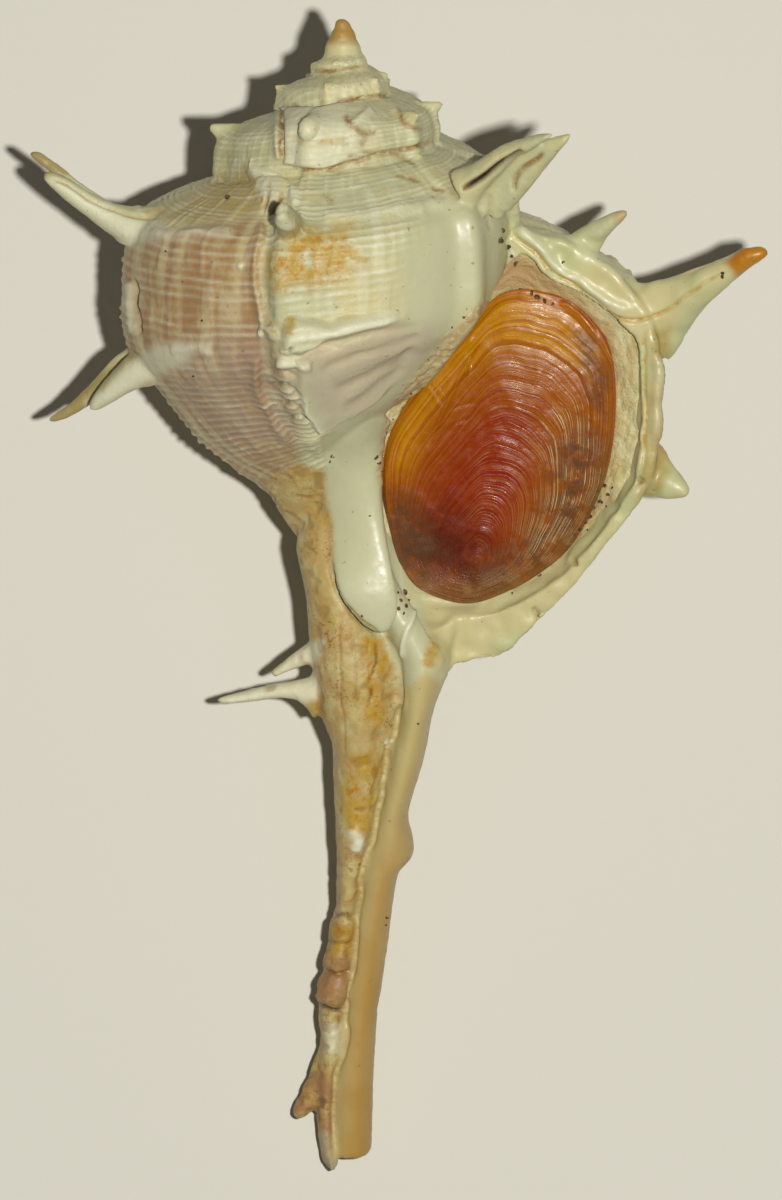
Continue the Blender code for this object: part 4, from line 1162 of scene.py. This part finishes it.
def shellMaterial():
    look = shellLook
    n = Nodes("shell")
    broad = n.noise(6.0, 2.0)
    patch = n.noise(1.6, 4.0, 0.6)
    fine = n.noise(0.35, 3.0, 0.6)

    # whorls
    colour = n.mix(n.spread(broad, 0.38, 0.62), look["creamCool"], look["cream"])
    pinkDepth = n.math("ADD", n.times(patch, 0.5), n.times(n.value("band"), 0.5))
    pink = n.mix(n.spread(pinkDepth, 0.42, 0.6), look["pinkTan"], look["pinkDeep"])
    pink = n.mix(n.spread(n.value("band"), 0.48, 0.2, 0.0, 0.7), pink, look["pinkPale"])
    colour = n.mix(n.patchy("pink", patch, 0.2, 0.5, 0.72, 1.0), colour, pink)
    colour = n.mix(n.value("rampTan"), colour, look["rampTan"])
    # the upper whorls turn darker and greener
    colour = n.mix(n.patchy("upper", patch, 0.35, 0.6, 0.75, 0.1), colour, look["upper"])
    colour = n.mix(n.patchy("purplePink", patch, 0.35, 0.6, 0.35, 0.85), colour, look["purplePink"])
    cordWhite = n.times(n.value("cord"), n.spread(n.value("pink"), 0.0, 1.0, 0.85, 0.55), clamp=True)
    colour = n.mix(cordWhite, colour, look["white"])

    # callus, lip and canal
    colour = n.mix(n.value("callus"), colour, look["callus"])
    colour = n.mix(n.patchy("mauve", patch, 0.3, 0.6, 0.55, 0.9), colour, look["mauve"])
    colour = n.mix(n.value("lip"), colour, n.mix(n.spread(broad, 0.4, 0.6), look["lip"], look["cream"]))
    colour = n.mix(n.patchy("lipTan", patch, 0.3, 0.6, 0.4, 0.9), colour, look["rampTan"])
    tan = n.mix(n.spread(patch, 0.45, 0.62), look["canalTan"], look["canalPale"])
    colour = n.mix(n.value("canalLeft"), colour, tan)
    yellow = n.patchy("canalLeft", n.noise(2.4, 4.0, 0.6), 0.46, 0.64, 0.0, 0.4)
    colour = n.mix(yellow, colour, look["mustard"])
    dots = n.patchy("canalLeft", n.noise(0.4, 4.0, 0.8), 0.52, 0.6, 0.0, 0.8)
    colour = n.mix(n.times(dots, n.spread(broad, 0.4, 0.6, 0.2, 1.0)), colour, look["rust"])
    colour = n.mix(n.patchy("canalBrown", patch, 0.35, 0.6, 0.3, 0.95), colour, look["canalBrown"])
    ochreDepth = n.math("ADD", n.value("ochre"), n.spread(broad, 0.3, 0.7, -0.12, 0.12), clamp=True)
    colour = n.mix(n.value("canalRight"), colour, n.mix(ochreDepth, look["canalPale"], look["canalOchre"]))

    # worn and stained places, painted shade and painted highlights
    for mark, share, tint in (
            ("olive", 1.0, "olive"), ("bare", 0.75, "white"), ("greyTone", 1.0, "grey"),
            ("spireTan", 1.0, "canalOchre"), ("white", 1.0, "white"), ("pinkLine", 0.8, "pinkLine")):
        colour = n.mix(n.times(n.value(mark), share), colour, look[tint])
    colour = n.mix(n.patchy("stain", n.noise(1.5, 3.0, 0.6), 0.32, 0.56, 0.0, 0.9), colour, look["mustard"])
    stain = n.patchy("stain", n.noise(0.5, 4.0, 0.75), 0.5, 0.62)
    colour = n.mix(n.times(stain, n.spread(n.value("cord"), 0.1, 0.5, 0.95, 0.25)), colour, look["stain"])
    # rust-brown stains and lines; the same mark also paints the shadow under the flap's edge, the shade along
    # the centre varix and the soft shadow where the lip starts
    colour = n.mix(n.patchy("rust", n.noise(0.8, 5.0, 0.8), 0.38, 0.53, 0.1, 1.0), colour, look["rust"])
    colour = n.mix(n.value("tip"), colour, n.mix(n.spread(patch, 0.4, 0.6), look["tip"], look["stain"]))
    colour = n.mix(n.times(n.value("hollow"), 0.4), colour, look["rust"])
    colour = n.mix(n.spread(n.noise(0.42, 1.0), 0.73, 0.78, 0.0, 0.5), colour, look["speck"])
    sand = n.mix(n.spread(fine, 0.45, 0.7, 0.0, 0.45), look["sand"], look["white"])
    colour = n.mix(n.patchy("crust", patch, 0.25, 0.5, 0.5, 1.0), colour, sand)
    # painted shade: near-black in hollows, grooves, cracks and along the lobe's edge, and the dark spots on
    # the canal's stub
    colour = n.mix(n.value("dark"), colour, look["dark"])

    glaze = n.math("ADD", n.value("callus"), n.math("ADD", n.value("lip"), n.value("canalRight")), clamp=True)
    dull, glossy = look["roughness"]
    roughness = n.math("ADD", n.spread(glaze, 0.0, 1.0, dull, glossy), n.spread(fine, 0.3, 0.7, -0.07, 0.09))
    relief = n.math("ADD", n.times(fine, 0.6), n.times(patch, 0.4))
    relief = n.times(relief, n.spread(glaze, 0.0, 1.0, 1.0, 0.15))
    return n.finish(colour, roughness, n.bump(relief, 0.09), 0.42, 0.6, 0.12, (1.0, 0.7, 0.4))


skin = {
    "coarseVoxel": 0.22,  # joins the parts before the mouth is cut
    "coarseRounds": 2,
    "fineVoxel": 0.158,  # carries the relief
    "fineRounds": 3,
    "parts": 4,  # one alone would have too many triangles
}
shell = buildShellForm()
fuse(shell, skin["coarseVoxel"])
soften(shell, skin["coarseRounds"])
cutMouth(shell)
fuse(shell, skin["fineVoxel"])
soften(shell, skin["fineRounds"])
print("shell form:", len(shell.data.vertices), "points")
relieveShell(shell)
shellSkin = shellMaterial()
shellParts = splitPiece(shell, skin["parts"])
for part in shellParts:
    part.data.materials.append(shellSkin)
    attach(part, "root")
    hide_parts("shell")
print("shell done")


# Dried foot: the sandy plug between the operculum and the wall of the mouth

mouthPlane = {"angle": 365.0, "recess": 1.1}
operculumShape = {
    # radius and height on the axis, in the plane across the mouth
    "outline": [
        (13.2, 20.4), (16.1, 21.0), (18.2, 22.7), (19.5, 24.9), (19.9, 28.7), (19.5, 33.0), (18.4, 36.5),
        (16.5, 39.9), (14.0, 42.1), (11.6, 43.5), (9.1, 44.3), (6.6, 43.8), (5.0, 42.8), (4.0, 41.1),
        (3.3, 38.5), (2.8, 36.0), (2.9, 33.4), (3.7, 30.8), (5.3, 28.1), (7.4, 25.2), (9.5, 22.7),
        (11.2, 21.0)],
    "nucleus": (9.6, 41.6),
    "thickness": 1.3,
    "crown": 0.5,
    "layers": 15,
    "layerHeight": 0.022,
    "layerEdge": 0.009,  # share of the way from nucleus to edge
    "lineHeight": 0.014,
    "lines": (62, 140),  # coarse and fine ones from the nucleus to the edge
    "domeReach": 12.5,
    "edgeFall": 0.4,
    "rings": 230,
    "columns": 300,
}
operculumLines = {
    # creases and scratches: photo points, width in pixels, depth in millimetres
    "creaseLong": ([(482, 330), (470, 356), (452, 392), (437, 424), (425, 452)], 2.6, -0.16),
    "creaseSide": ([(474, 334), (462, 352), (448, 366)], 2.0, 0.12),
    "scratchOne": ([(424, 383), (432, 392), (438, 402), (446, 410)], 1.3, 0.1),
    "scratchTwo": ([(430, 378), (440, 392), (448, 402)], 1.1, 0.08),
    "wrinkleOne": ([(462, 352), (470, 366), (466, 380)], 1.5, 0.09),
    "wrinkleTwo": ([(444, 412), (462, 404), (480, 400)], 1.8, -0.1),
    "wrinkleThree": ([(432, 440), (452, 424), (476, 414)], 1.8, -0.1),
    "wrinkleFour": ([(420, 470), (432, 452), (444, 440)], 1.6, 0.1),
    "foldRight": ([(560, 300), (582, 318), (598, 340)], 3.0, -0.2),
}
planeTurn = math.radians(mouthPlane["angle"])
planeOut = math.cos(planeTurn) * right + math.sin(planeTurn) * front
planeForwards = -math.sin(planeTurn) * right + math.cos(planeTurn) * front


def inMouthPlane(spots, forwards):
    # points from radius, height and the distance in front of the mouth's plane
    inPlane = apex + spots[:, :1] * planeOut + spots[:, 1:2] * down
    return inPlane + np.reshape(forwards, (-1, 1)) * planeForwards


def gridPiece(name, grid, closeMiddle=False):
    # rows of points that close on themselves, joined into a smooth sheet
    rows, columns, _ = grid.shape
    points = grid.reshape(-1, 3)
    faces = []
    for i in range(rows - 1):
        for j in range(columns):
            k = (j + 1) % columns
            faces.append((i * columns + j, i * columns + k, (i + 1) * columns + k, (i + 1) * columns + j))
    if closeMiddle:
        faces.append(tuple(range(columns))[::-1])
    mesh = bpy.data.meshes.new(name)
    mesh.from_pydata((points * mm).tolist(), [], faces)
    mesh.shade_smooth()
    piece = bpy.data.objects.new(name, mesh)
    bpy.context.scene.collection.objects.link(piece)
    return piece


footShape = {
    "columns": 360,
    "rows": 34,
    "wallAngle": 364.5,
    "innerReach": 0.955,  # starts under the operculum's edge
    "wallReach": 1.05,  # and ends inside the shell's wall
    "rise": 1.0,
    "gutter": 0.5,
    "behind": 4.0,
    "grain": 0.12,
    "lumps": 0.26,
}
footAreas = {
    "flesh": ([
        (480, 290), (500, 250), (540, 262), (612, 330), (618, 380), (590, 330), (550, 296), (510, 288)], 9),
    "brown": ([
        (395, 595), (480, 600), (560, 560), (604, 480), (618, 500), (560, 590), (470, 625), (410, 625)], 7),
}
footLook = {
    "sand": (0.53, 0.43, 0.18),
    "sandPale": (0.62, 0.56, 0.30),
    "fleshPink": (0.45, 0.29, 0.12),
    "brown": (0.27, 0.15, 0.05),
    "roughness": 0.62,
}


def resample(curve, count):
    # the same closed curve with evenly spaced points
    closed = np.vstack([curve, curve[:1]])
    lengths = np.concatenate([[0], np.cumsum(np.linalg.norm(np.diff(closed, axis=0), axis=1))])
    spots = np.linspace(0, lengths[-1], count, endpoint=False)
    return np.stack([np.interp(spots, lengths, closed[:, k]) for k in range(closed.shape[1])], axis=1)


def byTurn(curve, middle, count):
    # radius of a closed curve about its middle, in equal turns
    offset = curve - middle
    turn = np.arctan2(offset[:, 1], offset[:, 0])
    order = np.argsort(turn)
    reach = np.linalg.norm(offset, axis=1)[order]
    turns = np.linspace(-math.pi, math.pi, count, endpoint=False)
    return turns, np.interp(turns, turn[order], reach, period=2 * math.pi)


def buildFoot():
    shape = footShape
    count = shape["columns"]
    outline = smoothCurve(operculumShape["outline"], 16, closed=True)
    middle = outline.mean(axis=0)
    turns, inner = byTurn(outline, middle, count)
    _, outer = byTurn(mouthSection(shape["wallAngle"]), middle, count)
    first = inner * shape["innerReach"]
    last = outer * shape["wallReach"]
    direction = np.stack([np.cos(turns), np.sin(turns)], axis=1)
    grid = []
    sides = []
    for u in np.linspace(0, 1, shape["rows"]):
        reach = first + (last - first) * u
        spots = middle + direction * reach[:, None]
        level = -mouthPlane["recess"] + shape["rise"] * u**1.3 - shape["gutter"] * (1 - u) ** 6
        ring = inMouthPlane(spots, np.full(count, level))
        noise = (mottle(ring, 1.5, 41) - 0.5) * 2 * shape["lumps"]
        noise += (softNoise(ring, 0.32, 42) - 0.5) * 2 * shape["grain"]
        edge = min(1.0, (1 - u) * 6 + 0.25)
        ring = ring + (noise * edge)[:, None] * planeForwards
        grid.append(ring)
        sides.append(np.full(count, u))
    # the plug goes on into the shell behind its rim
    back = inMouthPlane(middle + direction * last[:, None], np.full(count, -shape["behind"]))
    grid.append(back)
    sides.append(np.ones(count))
    piece = gridPiece("dried_foot_skin", np.array(grid)[::-1])
    sides = np.concatenate(sides[::-1])
    setValues(piece.data, "rim", sides)
    pixels = toPhoto(pointsOf(piece.data))
    for name, (area, soft) in footAreas.items():
        setValues(piece.data, name, insideArea(pixels, area, soft))
    return piece


def footMaterial():
    look = footLook
    n = Nodes("dried_foot")
    grains = n.noise(0.22, 3.0, 0.7)
    patch = n.noise(1.7, 4.0, 0.6)
    colour = n.mix(n.spread(patch, 0.38, 0.62), look["sand"], look["sandPale"])
    colour = n.mix(n.patchy("flesh", patch, 0.3, 0.6, 0.6, 1.0), colour, look["fleshPink"])
    colour = n.mix(n.patchy("brown", patch, 0.35, 0.6, 0.1, 0.6), colour, look["brown"])
    colour = n.mix(n.spread(grains, 0.6, 0.78, 0.0, 0.55), colour, look["brown"])
    # painted shade: darker brown in the gutter along the operculum's edge
    colour = n.mix(n.spread(n.value("rim"), 0.22, 0.0, 0.0, 0.5), colour, look["brown"])
    roughness = n.spread(grains, 0.3, 0.7, look["roughness"] - 0.2, look["roughness"] + 0.15)
    return n.finish(colour, roughness, n.bump(grains, 0.14), 0.5, 0.5, 0.08)


foot = buildFoot()
foot.data.materials.append(footMaterial())
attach(foot, "root")
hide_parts("dried_foot")
print("dried foot done")


# Operculum: a horny lid that grew in arched layers from a nucleus near its lower end

operculumLook = {
    "amber": (0.36, 0.112, 0.001),
    "gold": (0.52, 0.235, 0.001),
    "orange": (0.275, 0.052, 0.001),
    "red": (0.24, 0.014, 0.002),
    "maroon": (0.095, 0.010, 0.003),
    "purple": (0.105, 0.046, 0.02),
    "rim": (0.17, 0.08, 0.015),
    # pale lines, partly the lid's own colour and partly painted glints on its growth lines
    "pale": (0.62, 0.46, 0.22),
    "roughness": 0.25,
}
operculumAreas = {
    "gold": ([(495, 296), (540, 292), (575, 318), (600, 350), (590, 372), (545, 352), (500, 345),
              (462, 372), (430, 410), (408, 470), (388, 470), (392, 425), (430, 376), (470, 325)], 18),
    "red": ([(424, 480), (452, 430), (495, 396), (535, 410), (532, 480), (510, 550), (455, 560),
             (424, 530)], 30),
    # where the painted glints along the growth lines are strongest
    "glintArcs": ([(545, 400), (600, 400), (598, 480), (565, 550), (510, 588), (460, 590), (500, 560),
              (540, 500)], 18),
    "maroon": ([(418, 500), (448, 500), (480, 525), (505, 550), (490, 580), (440, 584), (410, 560)], 26),
    "purple": ([(384, 492), (410, 495), (424, 520), (446, 550), (425, 582), (396, 566), (386, 530)], 16),
    "purpleRight": ([(555, 440), (580, 420), (606, 440), (590, 520), (548, 562), (500, 584), (450, 584),
                     (512, 552), (545, 500)], 22),
    "purpleTop": ([(575, 330), (596, 340), (608, 380), (604, 420), (590, 400), (582, 360)], 12),
    "rim": ([(398, 560), (425, 580), (470, 588), (530, 568), (580, 520), (602, 450), (622, 460), (600, 540),
             (540, 590), (470, 615), (400, 600)], 9),
}


def lineNoise(values, seed):
    # smooth noise from -1 to 1 along one direction
    still = np.zeros_like(values)
    return 2 * joinedNoise(seed, values, still, still) - 1


def buildOperculum():
    shape = operculumShape
    outline = resample(smoothCurve(shape["outline"], 16, closed=True), shape["columns"])
    nucleus = np.array(shape["nucleus"])
    surface = -mouthPlane["recess"] + shape["thickness"] / 2
    coarse, fine = shape["lines"]
    middle = outline.mean(axis=0)
    grid = []
    rings = []
    crispness = []
    rng = np.random.default_rng(5)
    layerEnds = np.sort(rng.uniform(0.1, 0.97, shape["layers"]))
    layerSizes = rng.uniform(0.4, 1.3, shape["layers"])
    for v in np.linspace(0.012, 1, shape["rings"]):
        spots = nucleus + (outline - nucleus) * v
        base = inMouthPlane(spots, np.zeros(len(spots)))
        waver = (softNoise(base, 4.0, 51) - 0.5) * 0.06 + (softNoise(base, 1.2, 52) - 0.5) * 0.014
        ringPlace = v + waver
        # growth lines are crisp on the right and above, and worn on the left
        crisp = 0.2 + 0.8 * ease((spots[:, 0] - 5.0 - 0.18 * (44 - spots[:, 1])) / 4.5)
        crisp *= 0.3 + 1.3 * softNoise(base, 2.2, 54)
        relief = np.zeros(len(spots))
        for end, amount in zip(layerEnds, layerSizes):
            past = ringPlace - end
            groove = 0.6 * ease(past / 0.02 + 0.5) * (1 - ease(past / 0.09))
            ridge = np.exp(-((past / shape["layerEdge"]) ** 2))
            relief += shape["layerHeight"] * amount * (ridge - groove)
        relief += shape["lineHeight"] * lineNoise(ringPlace * coarse, 55)
        relief += shape["lineHeight"] * 0.55 * lineNoise(ringPlace * fine, 56)
        relief *= crisp
        distance = np.linalg.norm(spots - middle, axis=1) / shape["domeReach"]
        dome = shape["crown"] * np.clip(1 - distance**2, 0, 1)
        fall = -shape["edgeFall"] * ease((v - 0.93) / 0.07) ** 2
        level = surface + dome + relief + fall
        level += (mottle(base, 3.0, 53) - 0.5) * 0.3
        points = inMouthPlane(spots, level)
        for line, width, depth in operculumLines.values():
            gap, progress, _ = alongLine(toPhoto(points), smoothCurve(line, 4))
            shift = depth * np.exp(-((gap / width) ** 2)) * ease(progress * 5) * ease((1 - progress) * 5)
            points = points + shift[:, None] * planeForwards
        grid.append(points)
        rings.append(ringPlace)
        crispness.append(crisp)
    for drop, scale in ((0.5, 1.006), (1.0, 1.0), (1.25, 0.97)):
        spots = middle + (outline - middle) * scale
        grid.append(inMouthPlane(spots, np.full(len(spots), surface - drop)))
        rings.append(np.ones(len(spots)))
        crispness.append(np.zeros(len(spots)))
    piece = gridPiece("operculum_skin", np.array(grid), closeMiddle=True)
    setValues(piece.data, "ring", np.concatenate(rings))
    setValues(piece.data, "crisp", np.concatenate(crispness))
    pixels = toPhoto(pointsOf(piece.data))
    masks = {}
    for name, (area, soft) in operculumAreas.items():
        mark = "purple" if name.startswith("purple") else name
        masks[mark] = np.maximum(masks.get(mark, 0), insideArea(pixels, area, soft))
    for mark, mask in masks.items():
        setValues(piece.data, mark, mask)
    return piece


def operculumMaterial():
    look = operculumLook
    n = Nodes("operculum")
    patch = n.noise(2.2, 4.0, 0.6)
    fine = n.noise(0.5, 4.0, 0.65)
    ring = n.value("ring")
    bands = n.ringNoise(ring, patch, 40.0)
    lines = n.ringNoise(ring, patch, 120.0)
    colour = n.mix(n.spread(bands, 0.25, 0.75), look["orange"], look["amber"])
    gold = n.mix(n.spread(bands, 0.2, 0.7), look["amber"], look["gold"])
    colour = n.mix(n.patchy("gold", patch, 0.3, 0.6, 0.6, 1.0), colour, gold)
    red = n.mix(n.spread(bands, 0.3, 0.85), look["red"], look["orange"])
    colour = n.mix(n.value("red"), colour, red)
    colour = n.mix(n.patchy("maroon", patch, 0.3, 0.6, 0.45, 0.95), colour, look["maroon"])
    smear = n.patchy("purple", n.noise(1.1, 5.0, 0.75), 0.34, 0.58, 0.25, 0.92)
    colour = n.mix(smear, colour, look["purple"])
    colour = n.mix(n.patchy("rim", patch, 0.3, 0.6, 0.4, 0.9), colour, look["rim"])
    # pale growth lines, partly their own colour and partly painted glints, strongest in the arcs at the lower
    # right
    pale = n.times(n.spread(lines, 0.53, 0.63), n.value("crisp"))
    pale = n.times(pale, n.spread(n.noise(1.4, 3.0, 0.6), 0.43, 0.58, 0.05, 0.95))
    pale = n.times(pale, n.spread(n.value("glintArcs"), 0.0, 1.0, 0.2, 1.0))
    colour = n.mix(pale, colour, look["pale"])
    dark = n.times(n.spread(lines, 0.46, 0.32), n.spread(patch, 0.35, 0.6, 0.05, 0.3))
    colour = n.mix(dark, colour, look["maroon"])
    roughness = n.spread(fine, 0.3, 0.7, look["roughness"] - 0.08, look["roughness"] + 0.18)
    relief = n.math("ADD", n.times(lines, 0.6), n.times(fine, 0.5))
    return n.finish(colour, roughness, n.bump(relief, 0.05), 0.35, 0.8, 0.15, (1.0, 0.4, 0.1))


operculum = buildOperculum()
operculum.data.materials.append(operculumMaterial())
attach(operculum, "root")
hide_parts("operculum")
print("operculum done")


# Specks of dirt that stick to the shell

dirt = {
    # photo column, row, width in pixels
    "specks": [
        (538, 297, 7), (544, 300, 5), (531, 292, 5), (552, 303, 4), (520, 288, 4), (500, 240, 7),
        (503, 231, 5), (508, 247, 5), (515, 262, 5), (511, 256, 4), (562, 262, 4), (721, 275, 7),
        (229, 199, 7), (404, 590, 7), (401, 598, 6), (406, 604, 5), (399, 607, 5), (404, 612, 4),
        (409, 598, 4), (398, 592, 4), (597, 490, 6), (604, 484, 5), (601, 500, 5), (608, 493, 4),
        (612, 486, 3), (594, 506, 4), (590, 515, 6), (585, 521, 5), (580, 528, 5), (588, 528, 3),
        (575, 533, 4), (606, 505, 3), (424, 774, 8), (421, 778, 6), (398, 888, 4), (540, 574, 4),
        (512, 592, 3), (387, 432, 3), (411, 393, 3), (452, 328, 3), (463, 318, 3), (332, 455, 4),
        (330, 460, 3), (362, 614, 3), (418, 722, 3), (386, 918, 4), (386, 925, 3), (168, 252, 3),
        (204, 322, 3), (195, 376, 3), (185, 283, 2), (370, 515, 2), (377, 456, 5), (379, 462, 4),
        (382, 470, 3), (466, 310, 2), (437, 348, 2), (428, 360, 2), (402, 406, 2), (393, 418, 2)],
    "grains": 3,
    "scatter": 0.16,  # of a speck's width
    "size": (0.45, 0.8),  # of half a speck's width
    "stretch": (0.7, 1.25),
    "roughness": (0.82, 1.15),
    "dropFrom": 100.0,
    "colour": (0.045, 0.026, 0.012),
    "paleColour": (0.16, 0.085, 0.03),
}


def buildDirt(carriers):
    # each speck is a few rough grains, dropped from above onto what carries it
    graph = bpy.context.evaluated_depsgraph_get()
    trees = [BVHTree.FromObject(carrier, graph) for carrier in carriers]
    rng = np.random.default_rng(77)
    bm = bmesh.new()
    for column, row, width in dirt["specks"]:
        for grain in range(dirt["grains"]):
            start = fromPhoto(column, row, 0.0)
            start[:2] += rng.normal(0, width * dirt["scatter"] * photo["mmPerPixel"], 2)
            radius = width * 0.5 * photo["mmPerPixel"] * rng.uniform(*dirt["size"])
            source = Vector((start[0] * mm, start[1] * mm, dirt["dropFrom"] * mm))
            hits = [tree.ray_cast(source, Vector((0, 0, -1)))[0] for tree in trees]
            hits = [hit for hit in hits if hit]
            if not hits:
                continue
            top = max(hits, key=lambda hit: hit.z)
            made = bmesh.ops.create_icosphere(bm, subdivisions=2, radius=radius * mm)
            stretch = rng.uniform(*dirt["stretch"], 3) * (1, 1, 0.75)
            for vertex in made["verts"]:
                vertex.co *= rng.uniform(*dirt["roughness"])
                vertex.co = Vector(vertex.co * Vector(stretch)) + top
    return newPiece("dirt", bm)


def dirtMaterial():
    n = Nodes("dirt")
    colour = n.mix(n.spread(n.noise(0.3, 3.0), 0.4, 0.65), dirt["colour"], dirt["paleColour"])
    roughness = n.spread(n.noise(0.15, 2.0), 0.3, 0.7, 0.75, 0.95)
    return n.finish(colour, roughness, n.bump(n.noise(0.12, 3.0), 0.05))


specks = buildDirt(shellParts + [foot, operculum])
specks.data.materials.append(dirtMaterial())
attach(specks, "root")
print("dirt done")


# Floor, light and camera

studio = {
    "floorSize": 1.5,  # metres
    "floorColour": (0.63, 0.61, 0.53),
    "floorRoughness": 0.7,
    "cameraHeight": 1500.0,
    "aimShift": 0.13,  # millimetres towards the apex, which stands higher and so looks larger than the canal
    "frameHeight": 1200 * 0.0733,  # millimetres that the photo's height spans at the shell's middle height
    "middleHeight": 15.0,
    "keyPlace": (0.06, 0.0, 0.75),
    "keySize": 0.02,
    "keyPower": 5.3,
    "keyColour": (1.0, 0.985, 0.95),
    "skyColour": (1.0, 0.98, 0.93),
    "skyStrength": 0.1,
    "sensorHeight": 36.0,
}


def buildStudio():
    scene = bpy.context.scene
    bm = bmesh.new()
    bmesh.ops.create_grid(bm, x_segments=2, y_segments=2, size=studio["floorSize"])
    floor = newPiece("floor", bm)
    material = bpy.data.materials.new("pale floor")
    material.use_nodes = True
    shader = material.node_tree.nodes["Principled BSDF"]
    shader.inputs["Base Color"].default_value = (*studio["floorColour"], 1)
    shader.inputs["Roughness"].default_value = studio["floorRoughness"]
    floor.data.materials.append(material)

    world = bpy.data.worlds.new("studio")
    world.use_nodes = True
    sky = world.node_tree.nodes["Background"]
    sky.inputs["Color"].default_value = (*studio["skyColour"], 1)
    sky.inputs["Strength"].default_value = studio["skyStrength"]
    scene.world = world

    lamp = bpy.data.lights.new("key", "AREA")
    lamp.shape = "DISK"
    lamp.size = studio["keySize"]
    lamp.energy = studio["keyPower"]
    lamp.color = studio["keyColour"]
    key = bpy.data.objects.new("key", lamp)
    key.location = studio["keyPlace"]
    key.rotation_euler = (0, math.atan2(studio["keyPlace"][0], studio["keyPlace"][2]), 0)
    scene.collection.objects.link(key)

    lens = bpy.data.cameras.new("camera")
    distance = (studio["cameraHeight"] - studio["middleHeight"]) * mm
    lens.sensor_fit = "VERTICAL"
    lens.sensor_height = studio["sensorHeight"]
    lens.lens = studio["sensorHeight"] * distance / (studio["frameHeight"] * mm)
    lens.clip_end = 10.0
    camera = bpy.data.objects.new("camera", lens)
    middleX = (photo["width"] / 2 - photo["middle"][0]) * photo["mmPerPixel"]
    middleY = (photo["middle"][1] - photo["height"] / 2) * photo["mmPerPixel"]
    camera.location = (middleX * mm, (middleY + studio["aimShift"]) * mm, studio["cameraHeight"] * mm)
    scene.collection.objects.link(camera)
    scene.camera = camera
    scene.view_settings.view_transform = "Standard"


buildStudio()
print("studio set")
